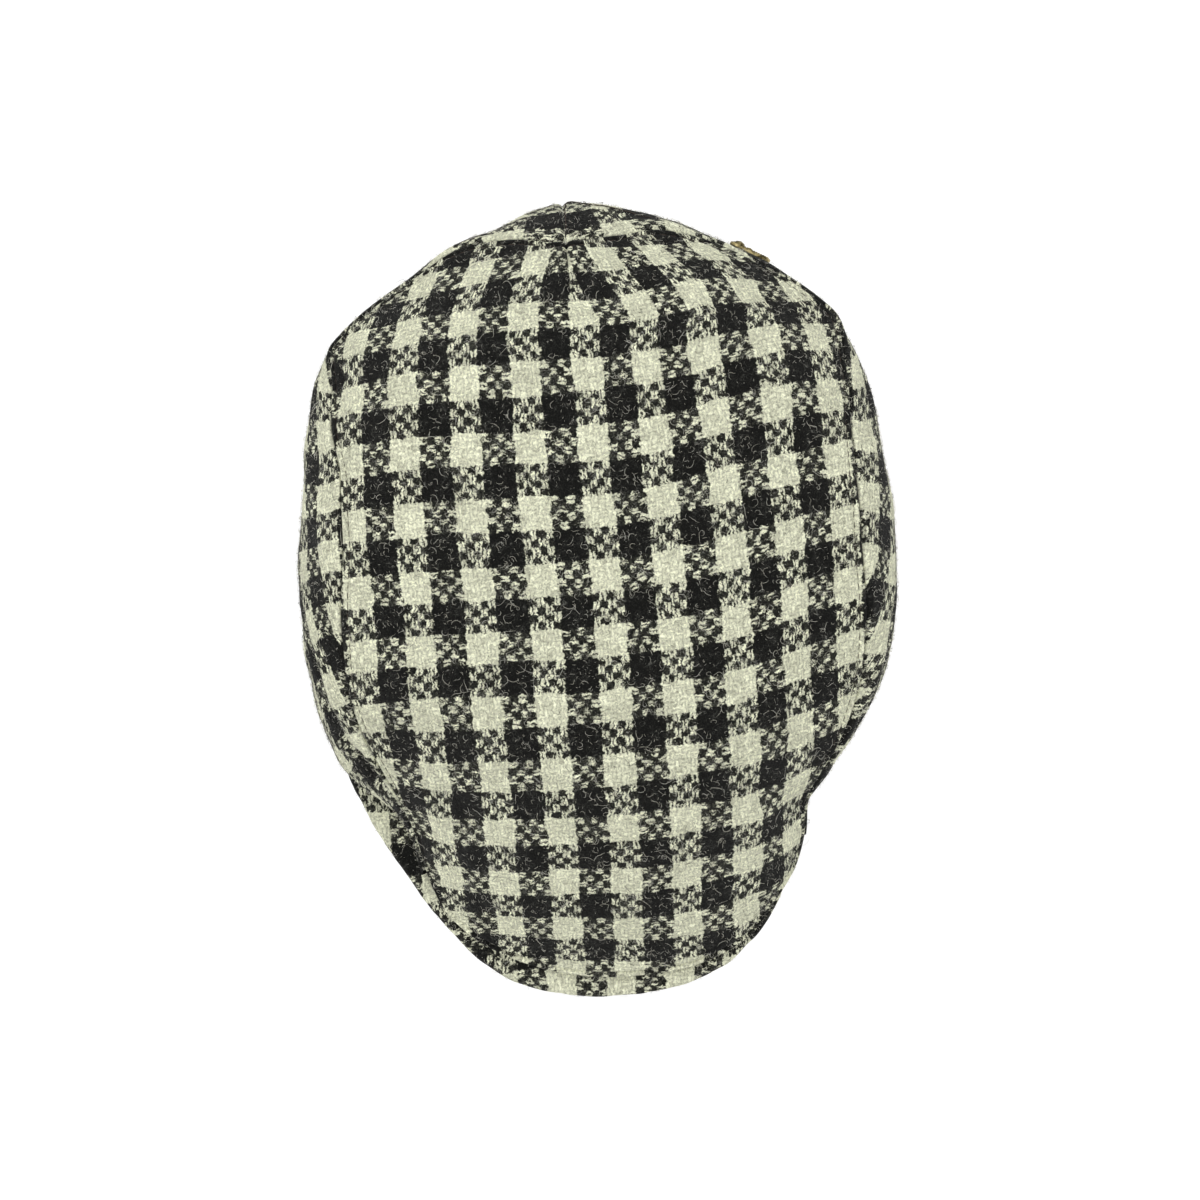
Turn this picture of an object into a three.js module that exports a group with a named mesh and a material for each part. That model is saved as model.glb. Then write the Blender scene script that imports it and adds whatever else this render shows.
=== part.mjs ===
// A flat cap of checked wool, built as it is sewn: a one-piece top panel, two side panels that meet at the
// centre back, a peak covered in the same cloth and a small metal badge.
// Millimetres, +Z up, +Y to the back of the cap, the peak towards -Y. It rests on its rim at z = 0.
import * as THREE from "three";

// Driving dimensions
const CLOTH = 2.0; // wall of the panels, outer cloth and lining together
const GAP = 0.35; // between pieces that are sewn to each other
const CROWN_TOP = 93; // highest point of the crown
const CENTRE = new THREE.Vector2(0, 10.1); // plan point that the sections turn about
const RIM = { x: 0, y: 16, halfWidth: 82, halfLength: 100 }; // oval of the head opening, outside of the cloth
const BACK_SEAM = 91.7; // angle of the centre-back seam, degrees from +X towards +Y
// The crown's ridge: a line on the centre plane from which its surface falls to the seam all round.
const RIDGE = {
  middle: -5,
  halfLength: 58,
  spread: 75, // how slowly the fall lines fan out towards the ridge's two ends
  summit: 15,
  frontBow: 0.0025, // fall of the ridge, per square millimetre from its summit
  backBow: 0.0014,
};
const PEAK = {
  thickness: 3.5,
  cornerHeight: 6.6, // top face at the two corners, at the head opening
  rootHeight: 27, // top face on the centre line, where the peak leaves the head opening
  droop: 0.135, // fall of the top face, per millimetre outwards
  archPower: 1.5, // 1 is a round arch across, and more than that spreads its ends
  middle: 270, // angle of its centre line
  halfSpan: 65, // degrees from the centre line to a corner
  inset: 2.5, // how far its ends stay short of that span
};
const PANEL_ON_PEAK = 2.0; // height of the top panel's edge above the top face of the peak
const FRONT_ENDS = {
  left: { leavesFloor: 199, onPeak: 206, underSeam: 232, end: BACK_SEAM + 145 },
  right: { leavesFloor: 344, onPeak: 337, underSeam: 309, end: BACK_SEAM + 212.5 },
};
const BADGE = {
  angle: 60,
  height: 41,
  offCloth: 0.85, // from the widest line of the side panel out to the back of the plate
  width: 15,
  tall: 10,
  plate: 1.0,
  border: 0.7,
  corner: 2.5,
  frame: 1.3,
};

// Plan of the seam round the top panel: fullness says how late the crown turns down towards the seam.
const SEAM = [
  { angle: 0, radius: 89.8, height: 79, fullness: 3.2 },
  { angle: 11, radius: 91.5, height: 77, fullness: 3.3 },
  { angle: 23, radius: 96.9, height: 72, fullness: 3.6 },
  { angle: 36, radius: 110.0, height: 60, fullness: 4.2 },
  { angle: 44, radius: 119.0, height: 53, fullness: 4.5 },
  { angle: 60, radius: 118.4, height: 53, fullness: 4.3 },
  { angle: 68, radius: 119.0, height: 55, fullness: 3.8 },
  { angle: 75, radius: 117.8, height: 58, fullness: 3.4 },
  { angle: 83, radius: 113.0, height: 60, fullness: 3.0 },
  { angle: 92, radius: 111.1, height: 61, fullness: 2.8 },
  { angle: 101, radius: 115.2, height: 60, fullness: 3.0 },
  { angle: 110, radius: 118.0, height: 57, fullness: 3.5 },
  { angle: 120, radius: 117.2, height: 53, fullness: 4.3 },
  { angle: 136, radius: 118.0, height: 53, fullness: 4.5 },
  { angle: 142, radius: 109.2, height: 60, fullness: 4.2 },
  { angle: 148, radius: 102.2, height: 67, fullness: 3.8 },
  { angle: 157, radius: 91.6, height: 74, fullness: 3.5 },
  { angle: 174, radius: 85.6, height: 80, fullness: 3.2 },
  { angle: 192, radius: 89.0, height: 76, fullness: 3.1 },
  { angle: 204, radius: 94.4, height: 68, fullness: 3.0 },
  { angle: 220, radius: 100.6, height: 46, fullness: 2.9 },
  { angle: 227, radius: 105.0, height: 35, fullness: 2.8 },
  { angle: 232, radius: 110.2, height: 27, fullness: 2.7 },
  { angle: 239, radius: 123.0, height: 16, fullness: 2.4 },
  { angle: 244, radius: 130.2, height: 10, fullness: 2.2 },
  { angle: 252, radius: 135.8, height: 10, fullness: 2.0 },
  { angle: 261, radius: 138.9, height: 10, fullness: 1.9 },
  { angle: 270, radius: 140.2, height: 10, fullness: 1.9 },
  { angle: 279, radius: 140.2, height: 10, fullness: 1.9 },
  { angle: 288, radius: 137.2, height: 10, fullness: 2.1 },
  { angle: 294, radius: 129.6, height: 10, fullness: 2.4 },
  { angle: 300, radius: 121.0, height: 15, fullness: 2.8 },
  { angle: 304, radius: 114.6, height: 24, fullness: 3.0 },
  { angle: 309, radius: 105.2, height: 36, fullness: 3.1 },
  { angle: 322, radius: 101.0, height: 54, fullness: 3.1 },
  { angle: 331, radius: 98.0, height: 64, fullness: 3.1 },
  { angle: 345, radius: 93.0, height: 74, fullness: 3.2 },
];

// Widest line of the side panels, which is the cap's outline seen from above.
const BULGE = [
  { angle: 0, radius: 102.4, height: 46 },
  { angle: 15, radius: 104.5, height: 46 },
  { angle: 30, radius: 111.9, height: 46 },
  { angle: 38, radius: 117.0, height: 46 },
  { angle: 45, radius: 120.0, height: 43 },
  { angle: 60, radius: 119.7, height: 43 },
  { angle: 75, radius: 122.4, height: 42 },
  { angle: 92, radius: 125.6, height: 38 },
  { angle: 105, radius: 121.6, height: 41 },
  { angle: 120, radius: 118.4, height: 43 },
  { angle: 135, radius: 119.0, height: 43 },
  { angle: 142, radius: 116.2, height: 46 },
  { angle: 150, radius: 110.2, height: 46 },
  { angle: 165, radius: 102.8, height: 46 },
  { angle: 180, radius: 102.1, height: 46 },
  { angle: 195, radius: 105.2, height: 40 },
  { angle: 202, radius: 106.6, height: 35 },
  { angle: 208, radius: 108.2, height: 30 },
  { angle: 214, radius: 108.8, height: 27 },
  { angle: 220, radius: 106.0, height: 25 },
  { angle: 227, radius: 107.2, height: 22.5 },
  { angle: 232, radius: 111.6, height: 20.5 },
  { angle: 238, radius: 121.8, height: 16.6 },
  { angle: 303, radius: 117.6, height: 19 },
  { angle: 309, radius: 106.9, height: 23.5 },
  { angle: 317, radius: 104.8, height: 26 },
  { angle: 324, radius: 104.2, height: 29 },
  { angle: 331, radius: 104.6, height: 33 },
  { angle: 337, radius: 104.0, height: 37 },
  { angle: 345, radius: 103.4, height: 42 },
];

// Outer edge of the peak in plan.
const PEAK_EDGE = [
  { angle: 207, radius: 93.0 },
  { angle: 210, radius: 101.0 },
  { angle: 216, radius: 110.2 },
  { angle: 224, radius: 115.4 },
  { angle: 234, radius: 123.3 },
  { angle: 244, radius: 133.6 },
  { angle: 250, radius: 140.0 },
  { angle: 256, radius: 144.3 },
  { angle: 263, radius: 145.8 },
  { angle: 270, radius: 145.9 },
  { angle: 277, radius: 145.4 },
  { angle: 283, radius: 143.0 },
  { angle: 289, radius: 137.2 },
  { angle: 294, radius: 130.8 },
  { angle: 298, radius: 124.0 },
  { angle: 304, radius: 113.5 },
  { angle: 310, radius: 104.6 },
  { angle: 318, radius: 102.6 },
  { angle: 324, radius: 101.4 },
  { angle: 330, radius: 97.0 },
  { angle: 333, radius: 92.0 },
];

// Fineness of the faces
const COARSE_STEP = 5; // degrees between sections
const FINE_STEP = 2.5; // the same, where the crown is pinched in beside the peak
const PINCHES = [
  { from: 216, to: 246 },
  { from: 291, to: 316 },
];
const CROWN_SHARES = [0.12, 0.3, 0.46, 0.6, 0.72, 0.81, 0.88, 0.94, 1]; // rings of faces from ridge to seam
const SPANS_ABOVE_BULGE = 4;
const SPANS_BELOW_BULGE = 4;
const PEAK_SPANS = 4;
const LEAST_STEP = 1; // degrees between the peak's own ends and the nearest shared section
const CORNER_TURNS = [0, 30, 60, 90]; // degrees round each corner of the badge
const TINY_ANGLE = 0.2; // steps over which a surface's direction is measured
const TINY_SHARE = 0.01;

// Reads one column of a table at any angle, as a smooth curve that never overshoots its rows.
function around(table, column) {
  const count = table.length;
  const row = (i) => ((i % count) + count) % count;
  const width = (i) => {
    const wide = table[row(i + 1)].angle - table[row(i)].angle;
    return wide > 0 ? wide : wide + 360;
  };
  const rise = (i) => (table[row(i + 1)][column] - table[row(i)][column]) / width(i);
  const slopeAt = (i) => {
    const before = rise(i - 1);
    const after = rise(i);
    return before * after > 0 ? (2 * before * after) / (before + after) : 0;
  };
  return (angle) => {
    const turned = (((angle - table[0].angle) % 360) + 360) % 360;
    let i = 0;
    let start = 0;
    while (start + width(i) < turned) {
      start += width(i);
      i += 1;
    }
    const wide = width(i);
    return hermite(
      table[row(i)][column],
      table[row(i + 1)][column],
      slopeAt(i) * wide,
      slopeAt(i + 1) * wide,
      (turned - start) / wide,
    );
  };
}

function hermite(from, to, slopeFrom, slopeTo, t) {
  const t2 = t * t;
  const t3 = t2 * t;
  return (
    (2 * t3 - 3 * t2 + 1) * from + (t3 - 2 * t2 + t) * slopeFrom + (3 * t2 - 2 * t3) * to + (t3 - t2) * slopeTo
  );
}

const DOWN = new THREE.Vector3(0, 0, -1);

const seamRadius = around(SEAM, "radius");
const seamTableHeight = around(SEAM, "height");
const fullness = around(SEAM, "fullness");
const bulgeRadius = around(BULGE, "radius");
const bulgeHeight = around(BULGE, "height");
const peakEdgeRadius = around(PEAK_EDGE, "radius");

// A point at an angle and radius about the centre.
function polar(angle, radius, height) {
  const turn = THREE.MathUtils.degToRad(angle);
  return new THREE.Vector3(CENTRE.x + radius * Math.cos(turn), CENTRE.y + radius * Math.sin(turn), height);
}

// Radius of the head opening's oval at an angle.
function rimRadius(angle) {
  const turn = THREE.MathUtils.degToRad(angle);
  const along = new THREE.Vector2(Math.cos(turn) / RIM.halfWidth, Math.sin(turn) / RIM.halfLength);
  const start = new THREE.Vector2((CENTRE.x - RIM.x) / RIM.halfWidth, (CENTRE.y - RIM.y) / RIM.halfLength);
  const a = along.lengthSq();
  const b = along.dot(start);
  const c = start.lengthSq() - 1;
  return (-b + Math.sqrt(b * b - a * c)) / a;
}

// Height of the peak's top face: an arch across, lower towards its edge.
function peakTop(angle, radius) {
  const share = THREE.MathUtils.clamp((angle - PEAK.middle) / PEAK.halfSpan, -1, 1);
  const arch = Math.cos((share * Math.PI) / 2) ** PEAK.archPower;
  const root = PEAK.cornerHeight + (PEAK.rootHeight - PEAK.cornerHeight) * arch;
  return root - PEAK.droop * (radius - rimRadius(angle));
}

function seamHeight(angle) {
  return Math.max(seamTableHeight(angle), peakTop(angle, seamRadius(angle)) + PANEL_ON_PEAK);
}

// The crown's outer surface: share runs from 0 at the ridge to 1 at the seam, along a fall line that leaves the
// ridge with the ridge's own slope.
function crown(angle, share) {
  const seam = polar(angle, seamRadius(angle), seamHeight(angle));
  const start = RIDGE.middle + RIDGE.halfLength * Math.tanh((seam.y - RIDGE.middle) / RIDGE.spread);
  const fromSummit = start - RIDGE.summit;
  const bow = fromSummit < 0 ? RIDGE.frontBow : RIDGE.backBow;
  const high = CROWN_TOP - bow * fromSummit ** 2;
  const straight = -2 * bow * fromSummit * (seam.y - start) * share;
  const full = seam.z - high + 2 * bow * fromSummit * (seam.y - start);
  const height = high + straight + full * share ** fullness(angle);
  return new THREE.Vector3(seam.x * share, THREE.MathUtils.lerp(start, seam.y, share), height);
}

// How far an angle is from a first to a second one, as a share that eases in and out.
function shareAlong(angle, first, second) {
  return THREE.MathUtils.smoothstep((angle - first) / (second - first), 0, 1);
}

// The foot of a side panel: on the floor, then on the peak, and at the front under the seam.
function foot(angle, inward) {
  const front = angle < PEAK.middle ? FRONT_ENDS.left : FRONT_ENDS.right;
  const under = shareAlong(angle, front.onPeak, front.underSeam);
  const underSeam = Math.min(seamRadius(angle) - CLOTH / 2, peakEdgeRadius(angle) - CLOTH);
  const radius = THREE.MathUtils.lerp(rimRadius(angle), underSeam, under) - inward;
  const raised = shareAlong(angle, front.leavesFloor, front.onPeak);
  return polar(angle, radius, raised * (peakTop(angle, radius) + GAP));
}

// A side panel's outer surface: share runs from 0 at the seam, by 0.5 at the bulge, to 1 at the foot.
function side(angle, share) {
  const seam = crown(angle, 1);
  const runOff = pastSeam(angle);
  const bulge = polar(angle, bulgeRadius(angle), bulgeHeight(angle));
  if (share < 0.5) return bend(seam.addScaledVector(runOff, GAP), bulge, runOff, share * 2);
  return bend(bulge, foot(angle, 0), DOWN, share * 2 - 1);
}

// A curve between two points that leaves one in a given direction and reaches the other going down.
function bend(from, to, leave, t) {
  const reach = from.distanceTo(to);
  const read = (axis) => hermite(from[axis], to[axis], leave[axis] * reach, DOWN[axis] * reach, t);
  return new THREE.Vector3(read("x"), read("y"), read("z"));
}

// The direction in which the crown's surface runs on past the seam, square to the seam.
function pastSeam(angle) {
  const along = crown(angle + TINY_ANGLE, 1).sub(crown(angle - TINY_ANGLE, 1));
  return along.cross(normalOf(crown, angle, 1)).normalize();
}

// The outward normal of a surface that is a function of angle and share.
function normalOf(surface, angle, share) {
  const before = Math.max(share - TINY_SHARE, 0);
  const after = Math.min(share + TINY_SHARE, 1);
  const along = surface(angle, after).sub(surface(angle, before));
  const round = surface(angle + TINY_ANGLE, share).sub(surface(angle - TINY_ANGLE, share));
  return along.cross(round).normalize();
}

// Angles of the sections from one angle to another, finer beside the peak.
function sections(from, to) {
  const found = [];
  for (let angle = from; angle < to - TINY_ANGLE; ) {
    found.push(angle);
    const turned = angle % 360;
    angle += PINCHES.some((pinch) => turned >= pinch.from && turned < pinch.to) ? FINE_STEP : COARSE_STEP;
  }
  found.push(to);
  return found;
}

// Turns a list of corners and a list of faces of three or four corners into a geometry that faces outwards.
function solid(corners, faces) {
  const index = faces.flatMap(([a, b, c, d]) => (d === undefined ? [a, b, c] : [a, b, c, a, c, d]));
  let volume = 0;
  for (let i = 0; i < index.length; i += 3) {
    const [a, b, c] = [0, 1, 2].map((k) => corners[index[i + k]]);
    volume += a.dot(b.clone().cross(c));
  }
  if (volume < 0) index.reverse();
  const geometry = new THREE.BufferGeometry().setFromPoints(corners);
  geometry.setIndex(index);
  geometry.computeVertexNormals();
  return geometry;
}

// Joins sections that each run out along an upper line and back along a lower one, and closes both ends.
function loft(loops) {
  const size = loops[0].length;
  const faces = [];
  for (let i = 0; i + 1 < loops.length; i += 1) {
    for (let k = 0; k < size; k += 1) {
      const next = (k + 1) % size;
      faces.push([i * size + k, i * size + next, (i + 1) * size + next, (i + 1) * size + k]);
    }
  }
  const last = (loops.length - 1) * size;
  for (let k = 0; k + 1 < size / 2; k += 1) {
    const across = size - 1 - k;
    faces.push([k, across, across - 1, k + 1]);
    faces.push([last + k, last + k + 1, last + across - 1, last + across]);
  }
  return solid(loops.flat(), faces);
}

// Fills the loop nearest the ridge with rungs between its left and right halves, from back to front.
function ladder(loop) {
  const faces = [];
  let left = 0;
  let right = loop.length - 1;
  while (left + 1 < right) {
    if (loop[left + 1].y > loop[right - 1].y) {
      faces.push([left, left + 1, right]);
      left += 1;
    } else {
      faces.push([left, right - 1, right]);
      right -= 1;
    }
  }
  return faces;
}

// The top panel: an outer and an inner layer of rings from the ridge to the seam, joined round the edge.
function topPanel() {
  const angles = sections(BACK_SEAM, BACK_SEAM + 360).slice(0, -1);
  const count = angles.length;
  const layers = [0, CLOTH].map((depth) =>
    CROWN_SHARES.flatMap((share) =>
      angles.map((angle) => crown(angle, share).addScaledVector(normalOf(crown, angle, share), -depth)),
    ),
  );
  const inside = layers[0].length;
  const at = (layer, ring, k) => layer + ring * count + (k % count);
  const faces = [];
  for (const [a, b, c] of ladder(layers[0].slice(0, count))) {
    faces.push([a, b, c], [inside + a, inside + c, inside + b]);
  }
  const edge = CROWN_SHARES.length - 1;
  for (let k = 0; k < count; k += 1) {
    for (let ring = 0; ring < edge; ring += 1) {
      faces.push([at(0, ring, k), at(0, ring + 1, k), at(0, ring + 1, k + 1), at(0, ring, k + 1)]);
      faces.push([at(inside, ring, k), at(inside, ring, k + 1), at(inside, ring + 1, k + 1), at(inside, ring + 1, k)]);
    }
    faces.push([at(inside, edge, k), at(inside, edge, k + 1), at(0, edge, k + 1), at(0, edge, k)]);
  }
  return solid(layers.flat(), faces);
}

// One side panel, which stops half a gap short of the centre-back seam.
function sidePanel(from, to) {
  const halfGap = THREE.MathUtils.radToDeg(GAP / 2 / bulgeRadius(BACK_SEAM));
  const angles = sections(from, to);
  if (from === BACK_SEAM) angles[0] += halfGap;
  else angles[angles.length - 1] -= halfGap;
  const spans = SPANS_ABOVE_BULGE + SPANS_BELOW_BULGE;
  const loops = angles.map((angle) => {
    const outer = [];
    const inner = [];
    for (let k = 0; k <= spans; k += 1) {
      const above = Math.min(k, SPANS_ABOVE_BULGE) / SPANS_ABOVE_BULGE;
      const below = Math.max(k - SPANS_ABOVE_BULGE, 0) / SPANS_BELOW_BULGE;
      const share = (above + below) / 2;
      const point = side(angle, share);
      const normal = k === 0 ? normalOf(crown, angle, 1) : normalOf(side, angle, share);
      outer.push(point);
      inner.push(k === spans ? foot(angle, CLOTH) : point.clone().addScaledVector(normal, -CLOTH));
    }
    return [...outer, ...inner.reverse()];
  });
  return loft(loops);
}

// The peak: one plate, bent to its arch, from just inside the head opening to its edge.
function peak() {
  const from = PEAK.middle - PEAK.halfSpan + PEAK.inset;
  const to = PEAK.middle + PEAK.halfSpan - PEAK.inset;
  const between = (angle) => angle > from + LEAST_STEP && angle < to - LEAST_STEP;
  const shared = sections(BACK_SEAM, BACK_SEAM + 360).filter(between);
  const loops = [from, ...shared, to].map((angle) => {
    const root = rimRadius(angle) - CLOTH;
    const edge = peakEdgeRadius(angle);
    const top = [];
    const bottom = [];
    for (let k = 0; k <= PEAK_SPANS; k += 1) {
      const radius = THREE.MathUtils.lerp(root, edge, k / PEAK_SPANS);
      const height = peakTop(angle, radius);
      top.push(polar(angle, radius, height));
      bottom.push(polar(angle, radius, height - PEAK.thickness));
    }
    return [...top, ...bottom.reverse()];
  });
  return loft(loops);
}

// A plain plaque with rounded corners and a raised border, standing upright with its face towards +Z.
function plaque() {
  const outline = (inset) => {
    const x = BADGE.width / 2 - inset;
    const y = BADGE.tall / 2 - inset;
    const round = BADGE.corner - inset / 2;
    const middles = [
      [x - round, y - round, 0],
      [round - x, y - round, 90],
      [round - x, round - y, 180],
      [x - round, round - y, 270],
    ];
    return middles.flatMap(([cx, cy, start]) =>
      CORNER_TURNS.map((more) => {
        const turn = THREE.MathUtils.degToRad(start + more);
        return new THREE.Vector2(cx + round * Math.cos(turn), cy + round * Math.sin(turn));
      }),
    );
  };
  const levels = [
    { inset: 0, height: 0 },
    { inset: 0, height: BADGE.plate + BADGE.border / 2 },
    { inset: BADGE.border / 2, height: BADGE.plate + BADGE.border },
    { inset: BADGE.frame - BADGE.border / 2, height: BADGE.plate + BADGE.border },
    { inset: BADGE.frame, height: BADGE.plate },
  ];
  const corners = levels.flatMap(({ inset, height }) =>
    outline(inset).map((point) => new THREE.Vector3(point.x, point.y, height)),
  );
  const count = outline(0).length;
  const faces = [];
  for (let level = 0; level + 1 < levels.length; level += 1) {
    for (let k = 0; k < count; k += 1) {
      const next = (k + 1) % count;
      faces.push([level * count + k, level * count + next, (level + 1) * count + next, (level + 1) * count + k]);
    }
  }
  const lid = (levels.length - 1) * count;
  for (let k = 1; k + 1 < count; k += 1) {
    faces.push([0, k + 1, k]);
    faces.push([lid, lid + k, lid + k + 1]);
  }
  return solid(corners, faces);
}

function cloth(colour) {
  return new THREE.MeshStandardMaterial({ color: colour, roughness: 0.95, metalness: 0, flatShading: true });
}

function piece(name, geometry, material) {
  const mesh = new THREE.Mesh(geometry, material);
  mesh.name = name;
  return mesh;
}

// The badge stands upright on the right side panel.
function placedBadge() {
  const brass = new THREE.MeshStandardMaterial({ color: 0x8a7443, roughness: 0.4, metalness: 1 });
  const mesh = piece("badge", plaque(), brass);
  const outward = polar(BADGE.angle, 1, 0).sub(polar(BADGE.angle, 0, 0));
  const place = polar(BADGE.angle, bulgeRadius(BADGE.angle) + BADGE.offCloth, BADGE.height);
  const up = new THREE.Vector3(0, 0, 1);
  const sideways = up.clone().cross(outward);
  mesh.setRotationFromMatrix(new THREE.Matrix4().makeBasis(sideways, up, outward));
  mesh.position.copy(place);
  return mesh;
}

const cap = new THREE.Group();
cap.add(piece("crown_top_panel", topPanel(), cloth(0x8b8a7c)));
cap.add(piece("side_panel_left", sidePanel(BACK_SEAM, FRONT_ENDS.left.end), cloth(0x7e7d70)));
cap.add(piece("side_panel_right", sidePanel(FRONT_ENDS.right.end, BACK_SEAM + 360), cloth(0x7e7d70)));
cap.add(piece("peak", peak(), cloth(0x6f6e63)));
cap.add(placedBadge());

export default cap;
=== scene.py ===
# The looks of a flat cap in a black and cream wool check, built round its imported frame.
# Forms are worked out in millimetres, with +Z up and +Y to the back of the cap, and turned into metres as
# each mesh is made. Angles are in degrees about the cap's middle, from +X towards +Y.
import math

import bpy
import numpy as np
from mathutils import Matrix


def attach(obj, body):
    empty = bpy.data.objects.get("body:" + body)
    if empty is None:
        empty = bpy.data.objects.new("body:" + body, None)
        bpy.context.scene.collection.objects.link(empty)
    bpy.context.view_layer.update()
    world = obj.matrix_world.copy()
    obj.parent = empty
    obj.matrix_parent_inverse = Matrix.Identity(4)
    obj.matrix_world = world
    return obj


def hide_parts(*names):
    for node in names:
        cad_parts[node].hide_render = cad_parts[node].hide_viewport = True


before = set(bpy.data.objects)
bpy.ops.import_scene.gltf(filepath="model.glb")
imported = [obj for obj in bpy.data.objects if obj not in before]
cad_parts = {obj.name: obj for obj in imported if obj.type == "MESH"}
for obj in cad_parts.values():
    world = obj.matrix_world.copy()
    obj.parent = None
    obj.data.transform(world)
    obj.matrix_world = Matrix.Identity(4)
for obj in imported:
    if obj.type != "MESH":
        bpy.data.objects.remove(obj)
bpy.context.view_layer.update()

MM = 0.001

# Driving dimensions of the cap, as in the frame. The badge's place and the next three tables were read again
# off the photograph, and lie up to 3 mm off the frame's.
CLOTH = 2.0
GAP = 0.35
CROWN_TOP = 93.0
CENTRE_Y = 10.1
RIM_Y, RIM_HALF_WIDTH, RIM_HALF_LENGTH = 16.0, 82.0, 100.0
BACK_SEAM = 91.7
RIDGE_MIDDLE, RIDGE_HALF, RIDGE_SPREAD, RIDGE_SUMMIT = -5.0, 58.0, 75.0, 15.0
FRONT_BOW, BACK_BOW = 0.0025, 0.0014
PEAK_THICK, PEAK_CORNER, PEAK_ROOT, PEAK_DROOP, PEAK_ARCH = 3.5, 6.6, 27.0, 0.135, 1.5
PEAK_MIDDLE, PEAK_HALF_SPAN, PEAK_INSET = 270.0, 65.0, 2.5
PANEL_ON_PEAK = 2.0
LEFT_END, RIGHT_END = BACK_SEAM + 145.0, BACK_SEAM + 212.5
LEFT_FRONT = {"leaves_floor": 199.0, "on_peak": 206.0, "under_seam": 232.0}
RIGHT_FRONT = {"leaves_floor": 344.0, "on_peak": 337.0, "under_seam": 309.0}
BADGE = {"angle": 60.4, "height": 41.0, "off_cloth": 1.0, "width": 15.0, "tall": 10.0}

# Seam round the top panel: angle, radius, height, and how late the crown turns down towards it
SEAM = [
    (0, 89.8, 79, 3.2), (11, 91.5, 77, 3.3), (23, 96.9, 72, 3.6), (36, 109.6, 60, 4.2),
    (44, 118.0, 53, 4.5), (60, 117.3, 53, 4.3), (68, 117.6, 55, 3.8), (75, 117.0, 58, 3.4),
    (83, 113.0, 60, 3.0), (92, 111.1, 61, 2.8), (101, 115.2, 60, 3.0), (110, 118.0, 57, 3.5),
    (120, 116.0, 53, 4.3), (136, 116.8, 53, 4.5), (142, 108.4, 60, 4.2), (148, 102.0, 67, 3.8),
    (157, 91.6, 74, 3.5), (174, 85.6, 80, 3.2), (192, 89.0, 76, 3.1), (204, 94.4, 68, 3.0),
    (220, 100.6, 46, 2.9), (227, 105.0, 35, 2.8), (232, 110.2, 27, 2.7), (239, 123.0, 16, 2.4),
    (244, 130.2, 10, 2.2), (252, 135.8, 10, 2.0), (261, 138.9, 10, 1.9), (270, 140.2, 10, 1.9),
    (279, 140.2, 10, 1.9), (288, 137.2, 10, 2.1), (294, 130.0, 10, 2.4), (300, 123.0, 14, 2.8),
    (304, 116.4, 22, 3.0), (309, 105.8, 35, 3.1), (322, 101.0, 54, 3.1), (331, 98.0, 64, 3.1),
    (345, 93.0, 74, 3.2),
]
# Widest line of the side panels: angle, radius, height
BULGE = [
    (0, 101.6, 46), (15, 103.8, 46), (30, 111.1, 46), (38, 115.8, 46), (45, 118.5, 43), (60, 117.9, 43),
    (75, 120.9, 42), (92, 124.4, 38), (105, 119.8, 41), (120, 116.3, 43), (135, 117.1, 43), (142, 114.6, 46),
    (150, 108.9, 46), (165, 102.1, 46), (180, 101.0, 46), (195, 103.8, 40), (202, 105.6, 35),
    (208, 108.4, 30), (214, 110.4, 27), (220, 109.0, 25), (227, 107.8, 22.5), (232, 111.6, 20.5),
    (238, 121.8, 16.6), (303, 114.4, 17), (309, 105.0, 23), (317, 103.8, 26), (324, 103.7, 29),
    (331, 104.1, 33), (337, 103.3, 37), (345, 102.4, 42),
]
# Outer edge of the peak: angle, radius
PEAK_EDGE = [
    (207, 93.0), (210, 101.4), (216, 111.0), (224, 115.9), (234, 123.3), (244, 133.7), (250, 140.3),
    (256, 144.8), (263, 146.4), (270, 146.5), (277, 145.9), (283, 143.6), (289, 138.1), (294, 131.4),
    (298, 124.0), (304, 113.5), (310, 104.6), (318, 102.6), (324, 101.4), (330, 97.0), (333, 92.0),
]

# The cloth: eight cream and eight black yarns in turn, both ways, in a two-by-two basket weave
STRIPE = 8
REPEAT = 2 * STRIPE
TOP_REPEAT_ACROSS, TOP_REPEAT_ALONG = 21.6, 22.65
FAR = 100 * REPEAT  # keeps yarn counts above nought

DOWN = np.array([0.0, 0.0, -1.0])
UP = -DOWN


# Curves and forms

def hermite(start, end, slope_start, slope_end, t):
    t2, t3 = t * t, t * t * t
    return (
        (2 * t3 - 3 * t2 + 1) * start + (t3 - 2 * t2 + t) * slope_start
        + (3 * t2 - 2 * t3) * end + (t3 - t2) * slope_end
    )


def around(table, column):
    """A column of a table read at any angles, as a smooth curve that never overshoots its rows."""
    angles = np.array([row[0] for row in table], float)
    values = np.array([row[column] for row in table], float)
    wide = np.diff(np.append(angles, angles[0] + 360.0))
    rise = np.diff(np.append(values, values[0])) / wide
    before = np.roll(rise, 1)
    both = np.where(before * rise > 0, before + rise, 1.0)
    slope = np.where(before * rise > 0, 2 * before * rise / both, 0.0)

    def read(angle):
        turned = np.mod(np.asarray(angle, float) - angles[0], 360.0)
        i = np.searchsorted(angles - angles[0], turned, side="right") - 1
        after = (i + 1) % len(angles)
        t = (turned - (angles[i] - angles[0])) / wide[i]
        return hermite(values[i], values[after], slope[i] * wide[i], slope[after] * wide[i], t)

    return read


seam_radius = around(SEAM, 1)
seam_table_height = around(SEAM, 2)
fullness = around(SEAM, 3)
bulge_radius = around(BULGE, 1)
bulge_height = around(BULGE, 2)
peak_edge_radius = around(PEAK_EDGE, 1)


def smooth(t):
    t = np.clip(t, 0, 1)
    return t * t * (3 - 2 * t)


def unit(v):
    return v / np.maximum(np.linalg.norm(v, axis=-1, keepdims=True), 1e-9)


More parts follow.
